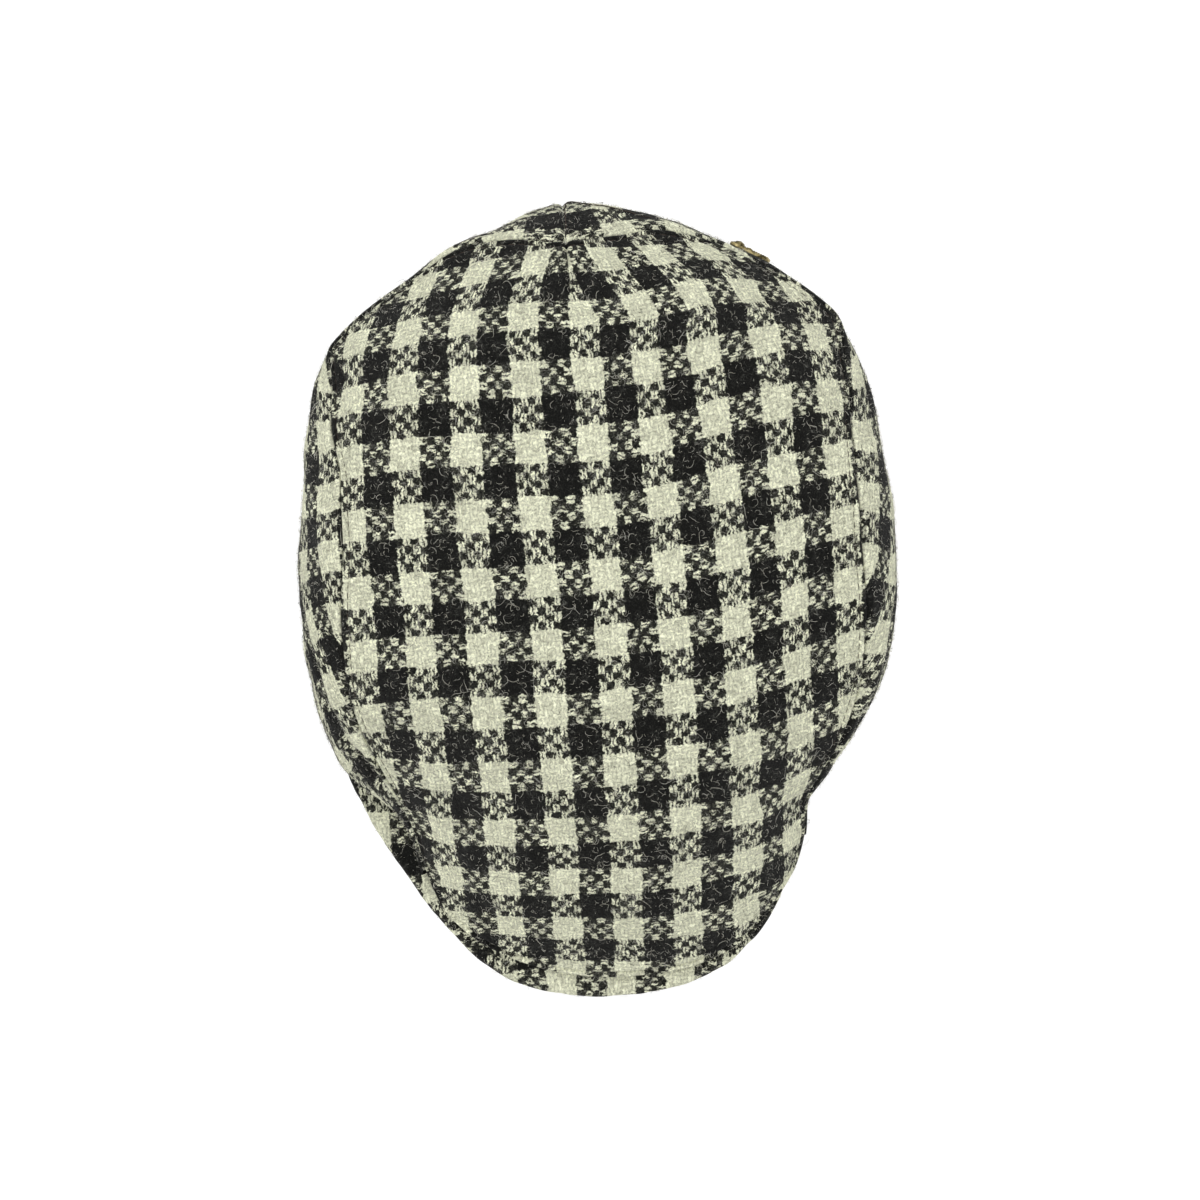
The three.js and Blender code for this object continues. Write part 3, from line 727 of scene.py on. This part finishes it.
def peak_cover():
    start, end = (PEAK_MIDDLE + hand * (PEAK_HALF_SPAN - PEAK_INSET) for hand in (-1, 1))
    angles = np.linspace(start, end, int((end - start) / PEAK_STEP) + 1)
    count = len(angles)
    root, edge = rim_radius(angles) - CLOTH, peak_edge_radius(angles)
    half = PEAK_THICK / 2
    across = np.linspace(0, 1, PEAK_ROWS)[:, None] ** 0.8
    turn = np.linspace(math.pi / 2, -math.pi / 2, PEAK_EDGE_ROWS + 2)[1:-1, None]
    back = np.linspace(1, 0, PEAK_UNDER_ROWS)[:, None]
    top, under = (root + share * (edge - half - root) for share in (across, back))
    round_edge = edge - half + half * np.cos(turn)
    radius = np.concatenate([top, round_edge, under])
    drop = np.concatenate([0 * top, half * (1 - np.sin(turn)) + 0 * round_edge, 0 * under + PEAK_THICK])
    points = polar(angles, radius, peak_top(angles, radius) - drop)
    out = polar(angles, 1.0, 0.0) - polar(angles, 0.0, 0.0)
    level = 1 - drop / half
    normal = unit(np.sqrt(np.clip(1 - level**2, 0, 1))[..., None] * out + level[..., None] * UP)
    seam = ridges([(-PEAK_EDGE_SEAM["deep"], PEAK_EDGE_SEAM["drop"], PEAK_EDGE_SEAM["wide"])], drop)
    points = points + normal * (seam * (edge - radius < half) + slack(PEAK_SLACK, points))[..., None]
    points[..., 2] = np.maximum(points[..., 2], 0.4)
    run = lengths_along(points)
    over_edge = (run - run[PEAK_ROWS - 1])[..., None] * out
    flat_x, flat_y = np.moveaxis((points[PEAK_ROWS - 1] + over_edge)[..., :2], -1, 0)
    shift = smooth((PEAK_SHIFT_FROM - flat_x) / PEAK_SHIFT_EASE) / 2
    along = (flat_y - PEAK_BLACK_ALONG) / TOP_REPEAT_ALONG + shift
    lay = yarn_counts((flat_x - PEAK_BLACK_ACROSS) / PEAK_REPEAT, along)
    rows = len(points)
    sheet = Sheet()
    sheet.grid(0, lay, count)
    k = np.arange(count - 1)
    last = (rows - 1) * count + k
    closing_uv = np.stack([lay[-1, k], lay[0, k], lay[0, k + 1], lay[-1, k + 1]], 1)
    sheet.add(np.stack([last, k, k + 1, last + 1], -1), closing_uv)
    for column, turned in ((0, True), (count - 1, False)):
        sheet.add([np.arange(rows) * count + column], [lay[:, column]], turned)
    facts = {"points": points[: PEAK_ROWS + 8], "normals": normal[: PEAK_ROWS + 8]}
    return sheet.mesh("peak_cloth", points), facts


# Fibres and thread

def tube_mesh(name, paths, radii, sides=3, face_slot=None):
    """Closed thin tubes along many paths of the same number of points: paths is (tubes, points, 3)."""
    paths = np.asarray(paths, float)
    tubes, count = paths.shape[:2]
    radii = np.broadcast_to(np.asarray(radii, float), (tubes, count))
    forward = unit(np.gradient(paths, axis=1))
    helper = np.where(np.abs(forward[..., 2:]) < 0.9, np.array([0, 0, 1.0]), np.array([1.0, 0, 0]))
    across = unit(np.cross(forward, helper))
    other = np.cross(forward, across)
    turn = np.arange(sides) * 2 * math.pi / sides
    ring = across[:, :, None] * np.cos(turn)[:, None] + other[:, :, None] * np.sin(turn)[:, None]
    points = paths[:, :, None] + ring * radii[:, :, None, None]
    size = count * sides
    i, k = (index.ravel() for index in np.indices((count - 1, sides)))
    after = (k + 1) % sides
    quad = np.stack([i * sides + k, i * sides + after, (i + 1) * sides + after, (i + 1) * sides + k], -1)
    one = np.concatenate([quad[:, [0, 1, 2]], quad[:, [0, 2, 3]]])
    end = (count - 1) * sides
    caps = [cap for j in range(1, sides - 1) for cap in ([0, j + 1, j], [end, end + j, end + j + 1])]
    one = np.concatenate([one, np.array(caps)])
    faces = (one[None] + (np.arange(tubes) * size)[:, None, None]).reshape(-1, 3)
    slots = None if face_slot is None else np.repeat(face_slot, len(one))
    return make_mesh(name, points, faces, face_slot=slots)


def fibre_paths(rng, starts, normals, length, steps, curl, lift):
    """Curly paths that start on a surface, wander over it and stand a little proud of it."""
    count = len(starts)
    guess = unit(rng.normal(size=(count, 3)))
    e1 = unit(np.cross(normals, guess))
    e2 = np.cross(normals, e1)
    step = (length / steps)[:, None]
    turn = rng.uniform(-curl, curl, (count, 1)) + rng.normal(0, curl * 0.45, (count, steps))
    heading = np.cumsum(turn, axis=1)
    way = np.cos(heading)[..., None] * e1[:, None] + np.sin(heading)[..., None] * e2[:, None]
    moved = np.cumsum(step[..., None] * way, axis=1)
    moved = np.concatenate([np.zeros((count, 1, 3)), moved], axis=1)
    t = np.linspace(0, 1, steps + 1)
    stands = lift[:, None] * (np.sin(t * math.pi * rng.uniform(0.45, 1.0, (count, 1))) + 0.05)
    return starts[:, None] + moved + stands[..., None] * normals[:, None]


def scatter(rng, facts, count):
    """Points and normals spread over a panel's outer grid, even by area."""
    points, normals = facts["points"], facts["normals"]
    corner, below, beside = points[:-1, :-1], points[1:, :-1], points[:-1, 1:]
    area = np.linalg.norm(np.cross(below - corner, beside - corner), axis=-1)
    chosen = rng.choice(area.size, count, p=(area / area.sum()).ravel())
    i, k = np.unravel_index(chosen, area.shape)
    s, t = rng.uniform(size=(2, count, 1))
    place = points[i, k] * (1 - s) * (1 - t) + points[i + 1, k] * s * (1 - t)
    place = place + points[i, k + 1] * (1 - s) * t + points[i + 1, k + 1] * s * t
    return place, normals[i, k]


FIBRE_KINDS = {
    "loose": {"steps": 6, "short": 1.6, "long": 6.0, "curl": 0.75, "lift": 0.45, "radius": 0.05},
    "nap": {"steps": 2, "short": 0.5, "long": 1.6, "curl": 0.5, "lift": 0.65, "radius": 0.045},
}
DARK_SHARE = 0.24


def fibres(name, seed, facts, counts, materials):
    """Loose curly fibres and a short nap on one panel, pale ones and some dark ones."""
    rng = np.random.default_rng(seed)
    for (kind, fibre), count in zip(FIBRE_KINDS.items(), counts):
        starts, normals = scatter(rng, facts, count)
        length = fibre["short"] + (fibre["long"] - fibre["short"]) * rng.uniform(size=count) ** 2.2
        lifts = fibre["lift"] * rng.uniform(0.3, 1.6, count)
        paths = fibre_paths(rng, starts, unit(normals), length, fibre["steps"], fibre["curl"], lifts)
        paths[..., 2] = np.maximum(paths[..., 2], 0.1)
        taper = np.interp(np.linspace(0, 1, fibre["steps"] + 1), [0, 0.2, 0.7, 1], [0.7, 1, 1, 0.35])
        radii = fibre["radius"] * taper * rng.uniform(0.8, 1.4, (count, 1))
        dark = (rng.uniform(size=count) < DARK_SHARE).astype(int)
        add_piece(tube_mesh(f"{name}_{kind}_fibres", paths, radii, face_slot=dark), materials)


def stitches(name, line, normals, length, space, radius, material):
    """Short stitches of thread along a line over the cloth."""
    run = lengths_along(line)
    starts = np.arange(space / 2, run[-1] - length, length + space)
    t = np.linspace(0, 1, 6)
    at = starts[:, None] + t * length
    place = np.stack([np.interp(at, run, line[:, k]) for k in range(3)], -1)
    up = unit(np.stack([np.interp(at, run, normals[:, k]) for k in range(3)], -1))
    arch = (0.75 * np.sin(t * math.pi) ** 0.6 - 0.35) * radius
    radii = radius * np.interp(t, [0, 0.15, 0.85, 1], [0.7, 1, 1, 0.7])
    add_piece(tube_mesh(name, place + up * arch[:, None], radii, sides=6), [material])


# Where the loose end of thread lies, read off the photograph in its pixels
THREAD_SEEN = [
    (566, 230), (565.5, 215), (565, 205), (567, 202), (572, 202), (582, 204), (600, 206), (616, 209),
    (632, 213), (642, 217), (651, 218), (660, 219), (670, 221), (676, 224), (678, 227),
]
THREAD_RADIUS, THREAD_LIFT = 0.2, 0.25


def loose_thread(facts, material):
    """The end of sewing thread that runs up the centre-back seam and lies over the right side panel."""
    seen = np.array(THREAD_SEEN, float)
    run = lengths_along(seen)
    at = np.linspace(0, run[-1], 90)
    grid = facts["points"][: SIDE_ROWS // 2]
    found = [under_photo(grid, np.interp(t, run, seen[:, 0]), np.interp(t, run, seen[:, 1])) for t in at]
    line = np.array([grid[place] + THREAD_LIFT * facts["normals"][place] for place in found])
    for _ in range(4):
        line[1:-1] = (line[:-2] + 2 * line[1:-1] + line[2:]) / 4
    add_piece(tube_mesh("loose_thread", line[None], THREAD_RADIUS, sides=6), [material])


# Materials

class Term:
    """What a node gives: a number, vector or colour. Terms are added and multiplied as in a formula."""

    def __init__(self, nodes, socket):
        self.nodes, self.socket = nodes, socket

    def __add__(self, other):
        return self.nodes.math("ADD", self, other)

    def __sub__(self, other):
        return self.nodes.math("SUBTRACT", self, other)

    def __rsub__(self, other):
        return self.nodes.math("SUBTRACT", other, self)

    def __mul__(self, other):
        return self.nodes.math("MULTIPLY", self, other)

    __rmul__ = __mul__

    def __mod__(self, other):
        return self.nodes.math("MODULO", self, other)

    def __abs__(self):
        return self.nodes.math("ABSOLUTE", self)


class Nodes:
    """A short way to write a material."""

    def __init__(self, name):
        self.material = bpy.data.materials.new(name)
        self.material.use_nodes = True
        self.tree = self.material.node_tree
        self.place = self.term("ShaderNodeTexCoord", "Object")

    def node(self, kind, inputs=(), **settings):
        """A node with some inputs, given in order or by name, as terms or as plain values."""
        node = self.tree.nodes.new(kind)
        for key, value in settings.items():
            setattr(node, key, value)
        for key, value in dict(inputs if isinstance(inputs, dict) else enumerate(inputs)).items():
            self.give(node.inputs[key], value)
        return node

    def give(self, socket, value):
        if isinstance(value, Term):
            self.tree.links.new(value.socket, socket)
        else:
            socket.default_value = value

    def term(self, kind, output=0, inputs=(), **settings):
        return Term(self, self.node(kind, inputs, **settings).outputs[output])

    def math(self, operation, *given, **settings):
        many = any(isinstance(value, Term) and value.socket.type in ("VECTOR", "RGBA") for value in given)
        if not many:
            return self.term("ShaderNodeMath", 0, given, operation=operation, **settings)
        given = [(value,) * 3 if isinstance(value, float) else value for value in given]
        return self.term("ShaderNodeVectorMath", 0, given, operation=operation, **settings)

    def mix(self, share, a, b):
        return self.term("ShaderNodeMix", 2, {0: share, 6: a, 7: b}, data_type="RGBA")

    def pick(self, choice, one, other):
        """one where choice is 1, other where it is 0."""
        return self.term("ShaderNodeMix", 0, {0: choice, 2: other, 3: one}, data_type="FLOAT")

    def ramp(self, value, low, high, to_low=0.0, to_high=1.0):
        given = (value, low, high, to_low, to_high)
        return self.term("ShaderNodeMapRange", 0, given, interpolation_type="SMOOTHSTEP")

    def noise(self, vector, scale, detail=2.0, roughness=0.5, distortion=0.0, colour=False):
        inputs = {"Vector": vector, "Scale": scale, "Detail": detail, "Roughness": roughness}
        inputs["Distortion"] = distortion
        return self.term("ShaderNodeTexNoise", "Color" if colour else "Fac", inputs)

    def chance(self, a, b):
        """An even random value for each pair of whole numbers."""
        pair = self.term("ShaderNodeCombineXYZ", 0, (a, b))
        return self.term("ShaderNodeTexWhiteNoise", "Value", {"Vector": pair}, noise_dimensions="2D")

    def bump(self, height, strength, depth):
        inputs = {"Height": height, "Strength": strength, "Distance": depth * MM}
        return self.term("ShaderNodeBump", 0, inputs)

    def surface(self, **inputs):
        """The finished material, with the shader's inputs named with underscores for blanks."""
        shader = self.tree.nodes["Principled BSDF"]
        for name, value in inputs.items():
            self.give(shader.inputs[name.replace("_", " ")], value)
        return self.material


CREAM = (0.94, 0.95, 0.72, 1)
# Cream in painted shade: the colour cream yarns take in the gaps between yarns and on low floats
CREAM_IN_PAINTED_SHADE = (0.38, 0.38, 0.28, 1)
BLACK = (0.0045, 0.0047, 0.0042, 1)
# Black lightened on its fuzz: partly the fibres' own paler tone, partly painted highlight
BLACK_FUZZ_PAINTED_HIGHLIGHT = (0.036, 0.036, 0.031, 1)
FIBRE_PALE = (0.60, 0.60, 0.53, 1)
YARN_WANDER, YARN_RAGGED = 1.6, 2.6  # how far the yarns stray from a true grid, in yarns
WARP_REACH, WEFT_REACH = 1.30, 0.98  # how far along itself each float stays on top, in yarns from its middle
FLOAT_ROUND, FLOAT_STREAK, FLOAT_CHANCE = 0.30, 3.0, 1.15
BLACK_LIES_HIGH = 0.12
STRAY_ON_BLACK, STRAY_ON_CREAM = 0.06, 0.40  # colour of the other yarn's fibres where the two differ
STRANDS = [(330, 0.016, 0.55), (520, 0.020, 0.42)]  # noise scale, width and strength of fine curly fibres


def float_of(n, along, across, turn, reach, streak, chance):
    """One set of yarns: how high its nearest float lies at a point, and how far off its yarn's middle."""
    off_middle = n.math("PINGPONG", along + turn, 2.0)
    off_yarn = abs(n.math("FRACT", across) - 0.5) * 2.0
    high = reach - off_middle - off_yarn * off_yarn * FLOAT_ROUND
    return high + (streak - 0.5) * FLOAT_STREAK + (chance - 0.5) * FLOAT_CHANCE, off_yarn


def strand(n, scale, width, strength):
    """Thin curly fibres in patches: lines where a noise crosses its middle."""
    level = n.noise(n.place, scale, 1, 0.5, 1.6)
    line = n.ramp(abs(level - 0.5), width, width * 0.3)
    patch = n.ramp(n.noise(n.place + (strength, 1.3, 2.1), scale * 0.55, 1), 0.48, 0.64)
    return line * patch * strength


def check_wool(name):
    """The woven check, from the cloth map's yarn counts: a two-by-two basket weave of uneven, fuzzy yarns."""
    n = Nodes(name)
    count = n.term("ShaderNodeUVMap", "UV", uv_map="cloth")
    count = count + (n.noise(n.place, 110, 1, colour=True) - 0.5) * YARN_WANDER
    count = count + (n.noise(n.place, 620, 3, 0.7, colour=True) - 0.5) * YARN_RAGGED
    split = n.node("ShaderNodeSeparateXYZ", (count,))
    u, v = (Term(n, split.outputs[axis]) for axis in (0, 1))
    index_u, index_v = (n.math("FLOOR", yarns * 0.5) for yarns in (u, v))
    warp_streak = n.noise(count * (3.2, 0.9, 1), 1.0, 2, 0.6)
    weft_streak = n.noise(count * (0.9, 3.2, 1), 1.0, 2, 0.6)
    warp_chance = n.chance(n.math("FLOOR", u), index_v)
    weft_chance = n.chance(n.math("FLOOR", v), index_u)
    warp_high, off_warp = float_of(n, v, u, index_u % 2.0 * -2.0 - 1.0, WARP_REACH, warp_streak, warp_chance)
    weft_high, off_weft = float_of(n, u, v, index_v % 2.0 * -2.0 - 3.0, WEFT_REACH, weft_streak, weft_chance)
    warp_black, weft_black = (n.math("LESS_THAN", yarns % float(REPEAT), float(STRIPE)) for yarns in (u, v))
    warp_high = warp_high + warp_black * BLACK_LIES_HIGH
    weft_high = weft_high + weft_black * BLACK_LIES_HIGH
    warp_up = n.math("GREATER_THAN", warp_high, weft_high)
    high = n.math("MAXIMUM", warp_high, weft_high)
    fuzz = n.noise(n.place, 2400, 2, 0.65)
    tuft = n.noise(n.place, 850, 3, 0.6, 0.5)
    between = n.ramp(n.pick(warp_up, off_warp, off_weft) + (tuft - 0.5) * 1.9, 0.52, 0.84)
    over, under = n.pick(warp_up, warp_black, weft_black), n.pick(warp_up, weft_black, warp_black)
    black = n.math("MAXIMUM", over, under * between)
    differ = abs(warp_black - weft_black)
    stray = n.ramp(n.noise(n.place, 1500, 2, 0.6, 1.0), 0.46, 0.64) * differ
    black = black * (1.0 - stray * STRAY_ON_BLACK) + (1.0 - black) * stray * STRAY_ON_CREAM
    # lit paints light and shade on the cream: painted shade between the yarns, painted light on the higher
    # floats, with random tufts
    lit = n.math("ADD", (1.0 - between) * 0.50 + 0.12 + (tuft - 0.5) * 1.5, high * 0.20, use_clamp=True)
    tone = (n.pick(warp_up, warp_chance, weft_chance) * 0.16 + 0.86) * (n.noise(n.place, 60) * 0.24 + 0.90)
    tone = tone * (fuzz * 0.80 + 0.61) * (n.noise(n.place, 1300) * 0.80 + 0.60)
    # Black yarn with fine random specks of its fuzz lighter: partly the fibres' own tone, partly painted
    # highlight
    dark = n.mix(n.ramp(fuzz, 0.45, 0.85), BLACK, BLACK_FUZZ_PAINTED_HIGHLIGHT)
    colour = n.mix(black, n.mix(lit, CREAM_IN_PAINTED_SHADE, CREAM) * tone, dark)
    wisps = n.math("MAXIMUM", *(strand(n, *facts) for facts in STRANDS))
    colour = n.mix(wisps * (black * 0.20 + differ * 0.45 + 0.1), colour, FIBRE_PALE)
    relief = high * 0.30 + fuzz * 0.35 - between * 0.30 + tuft * 0.6 + wisps * 0.3
    return n.surface(
        Base_Color=colour, Roughness=fuzz * 0.1 + 0.86, Specular_IOR_Level=0.10, Sheen_Weight=0.04,
        Sheen_Roughness=0.5, Normal=n.bump(relief, 0.75, 0.5),
    )


def plain_fibre(name, colour, other):
    n = Nodes(name)
    colour = n.mix(n.ramp(n.noise(n.place, 400, 1), 0.35, 0.65), colour, other)
    return n.surface(Base_Color=colour, Roughness=0.8, Specular_IOR_Level=0.2)


def brass(name):
    n = Nodes(name)
    stain = n.noise(n.place, 420, 4, 0.6)
    colour = n.mix(n.ramp(stain, 0.38, 0.62), (0.06, 0.048, 0.02, 1), (0.40, 0.33, 0.16, 1))
    scratches = n.bump(n.noise(n.place, 1500, 3), 0.4, 0.15)
    rough = n.ramp(stain, 0.3, 0.7, 0.6, 0.3)
    return n.surface(Base_Color=colour, Metallic=1.0, Roughness=rough, Normal=scratches)


# Badge

BADGE_CORNER, BADGE_CORNER_POINTS = 2.5, 10
# Steps of the plaque's section: in from its outline, and up
BADGE_STEPS = [(0.25, 0), (0, 0.25), (0, 1.0), (0.25, 1.3), (0.6, 1.3), (1.75, 1.3), (2.0, 0.95), (2.3, 0.9)]
BEADS = {"count": 44, "inset": 1.18, "base": 1.28, "radius": 0.42}
LOZENGES = {
    "columns": range(-3, 4), "rows": range(-1, 1), "apart": 1.45, "row": 1.7, "radius": 0.62, "high": 0.3,
}
BOSSES = [(4.3, 2.7, 2.1, 1.7), (0.5, 2.9, 1.3, 1.0), (-4.6, 3.1, 1.0, 0.8)]  # along, up, radius, height
FIELD_LEVEL = 0.88


def badge_outline(inset, points=BADGE_CORNER_POINTS):
    x, y = BADGE["width"] / 2 - inset, BADGE["tall"] / 2 - inset
    corner = max(BADGE_CORNER - inset * 0.6, 0.6)
    found = []
    for start, right, up in ((0, 1, 1), (90, -1, 1), (180, -1, -1), (270, 1, -1)):
        for turn in np.radians(start + np.linspace(0, 90, points)):
            at_x, at_y = right * (x - corner), up * (y - corner)
            found.append((at_x + corner * np.cos(turn), at_y + corner * np.sin(turn)))
    return np.array(found)


def badge_plaque():
    """A plain plaque with rounded corners, a beaded border, a field of small lozenges and three bosses."""
    count = 4 * BADGE_CORNER_POINTS
    rings = [np.column_stack([badge_outline(inset), np.full(count, up)]) for inset, up in BADGE_STEPS]
    points = list(np.concatenate(rings))
    faces = [list(range(count))[::-1], [len(points) - count + k for k in range(count)]]
    for low in range(0, len(points) - count, count):
        for k in range(count):
            after = (k + 1) % count
            faces.append([low + k, low + after, low + count + after, low + count + k])
    border = badge_outline(BEADS["inset"], 40)
    border = np.vstack([border, border[:1]])
    run = lengths_along(border)
    for at in np.linspace(0, run[-1], BEADS["count"], endpoint=False):
        x, y = (np.interp(at, run, border[:, axis]) for axis in (0, 1))
        add_dome(points, faces, x, y, BEADS["base"], BEADS["radius"], BEADS["radius"])
    for i in LOZENGES["columns"]:
        for j in LOZENGES["rows"]:
            x = (i + (0.5 if j % 2 else 0) - 0.25) * LOZENGES["apart"]
            y = j * LOZENGES["row"]
            add_dome(points, faces, x, y, FIELD_LEVEL, LOZENGES["radius"], LOZENGES["high"], sides=4)
    for x, y, radius, high in BOSSES:
        add_dome(points, faces, x, y, 0.95, radius, high)
    angle = BADGE["angle"]
    place = polar(angle, bulge_radius(angle) + BADGE["off_cloth"], BADGE["height"])
    outward = polar(angle, 1.0, 0.0) - polar(angle, 0.0, 0.0)
    world = place + np.array(points) @ np.array([np.cross(UP, outward), UP, outward])
    return make_mesh("brass_plaque", world, faces, flat=True)


def add_dome(points, faces, x, y, z, radius, high, sides=8):
    """A small dome, set into what lies under it."""
    start = len(points)
    for share, lift in ((1.0, -0.15), (1.0, 0.0), (0.72, high * 0.7)):
        for k in range(sides):
            turn = 2 * math.pi * k / sides
            out = radius * share
            points.append((x + out * math.cos(turn), y + out * math.sin(turn), z + lift))
    points.append((x, y, z + high))
    for level in range(2):
        for k in range(sides):
            after = (k + 1) % sides
            a, b = start + level * sides, start + (level + 1) * sides
            faces.append([a + k, a + after, b + after, b + k])
    top = start + 3 * sides
    for k in range(sides):
        faces.append([start + 2 * sides + k, start + 2 * sides + (k + 1) % sides, top])
    faces.append([start + k for k in range(sides)][::-1])


# Making the cap

TOP_SLOT, SIDE_SLOT, PEAK_SLOT = "top_check_wool", "side_check_wool", "peak_check_wool"
BADGE_SLOT = "antique_brass"
wool = {slot: check_wool(slot) for slot in (TOP_SLOT, SIDE_SLOT, PEAK_SLOT)}
pale = plain_fibre("pale_fibre", (0.75, 0.74, 0.65, 1), (0.62, 0.60, 0.50, 1))
dark = plain_fibre("dark_fibre", (0.02, 0.02, 0.019, 1), (0.06, 0.058, 0.052, 1))
thread = plain_fibre("dark_thread", (0.03, 0.022, 0.018, 1), (0.06, 0.045, 0.035, 1))

panels = {
    "top": (*top_panel(), TOP_SLOT, "crown_top_panel"),
    "left": (*side_panel("side_cloth_left", SIDES["left"]), SIDE_SLOT, "side_panel_left"),
    "right": (*side_panel("side_cloth_right", SIDES["right"]), SIDE_SLOT, "side_panel_right"),
    "peak": (*peak_cover(), PEAK_SLOT, "peak"),
}
for mesh, facts, slot, node in panels.values():
    add_piece(mesh, [wool[slot]], node)
add_piece(badge_plaque(), [brass(BADGE_SLOT)], "badge")

FIBRE_COUNTS = {"top": (4200, 9000), "left": (1300, 3600), "right": (1300, 3600), "peak": (500, 1200)}
for seed, (name, (mesh, facts, slot, node)) in enumerate(panels.items(), 41):
    fibres(name, seed, facts, FIBRE_COUNTS[name], [pale, dark])

top_points, top_normals = panels["top"][1]["points"], panels["top"][1]["normals"]
stitch_row = round(EDGE_STITCH / NEAR_STEP)
stitches("topstitching", top_points[stitch_row], top_normals[stitch_row], 2.4, 1.1, 0.15, thread)
# A dark thread laid along the front seam, close to the top panel's edge: a seam thread that paints the seam
# gap's shadow as a dark line
front = (top_angles() > 238) & (top_angles() < 304)
stitches("front_seam_painted_shadow_line", top_points[1, front], top_normals[1, front], 3.4, 0.35, 0.17, thread)
loose_thread(panels["right"][1], thread)


# Floor, light and camera

FRAME_WIDTH = 0.408  # what the picture's width covers at the cap's widest line
PICTURE_TURN = -3.7
PICTURE_CENTRE = (0.0005, -0.0007)


def floor_and_light():
    bpy.ops.mesh.primitive_plane_add(size=6, location=(0, 0, 0))
    floor = bpy.context.object
    floor.name = "floor"
    white = Nodes("floor_white").surface(
        Base_Color=(0.35, 0.35, 0.35, 1), Emission_Color=(1, 1, 1, 1), Emission_Strength=0.82, Roughness=0.9,
        Specular_IOR_Level=0.0,
    )
    floor.data.materials.append(white)
    world = bpy.context.scene.world or bpy.data.worlds.new("studio")
    bpy.context.scene.world = world
    world.use_nodes = True
    sky = world.node_tree.nodes["Background"]
    sky.inputs[0].default_value = (1, 1, 1, 1)
    sky.inputs[1].default_value = 0.65
    for name, place, size, power in (
        ("overhead", (0.1, 0.2, 1.6), 1.6, 13.0),
        ("from_left", (-1.3, 0.5, 1.0), 1.2, 4.0),
    ):
        lamp = bpy.data.lights.new(name, "AREA")
        lamp.size = size
        lamp.energy = power
        light = bpy.data.objects.new(name, lamp)
        light.location = place
        x, y, z = place
        light.rotation_euler = (math.atan2(math.hypot(x, y), z), 0, math.atan2(x, -y))
        bpy.context.scene.collection.objects.link(light)


def camera():
    lens = bpy.data.cameras.new("camera")
    lens.sensor_width = 36.0
    lens.lens = lens.sensor_width * (CAMERA_HEIGHT - WIDEST_LINE) / FRAME_WIDTH
    lens.clip_end = 50
    holder = bpy.data.objects.new("camera", lens)
    holder.location = (*PICTURE_CENTRE, CAMERA_HEIGHT)
    holder.rotation_euler = (0, 0, math.radians(PICTURE_TURN))
    bpy.context.scene.collection.objects.link(holder)
    bpy.context.scene.camera = holder


floor_and_light()
camera()
bpy.context.scene.view_settings.view_transform = "Standard"
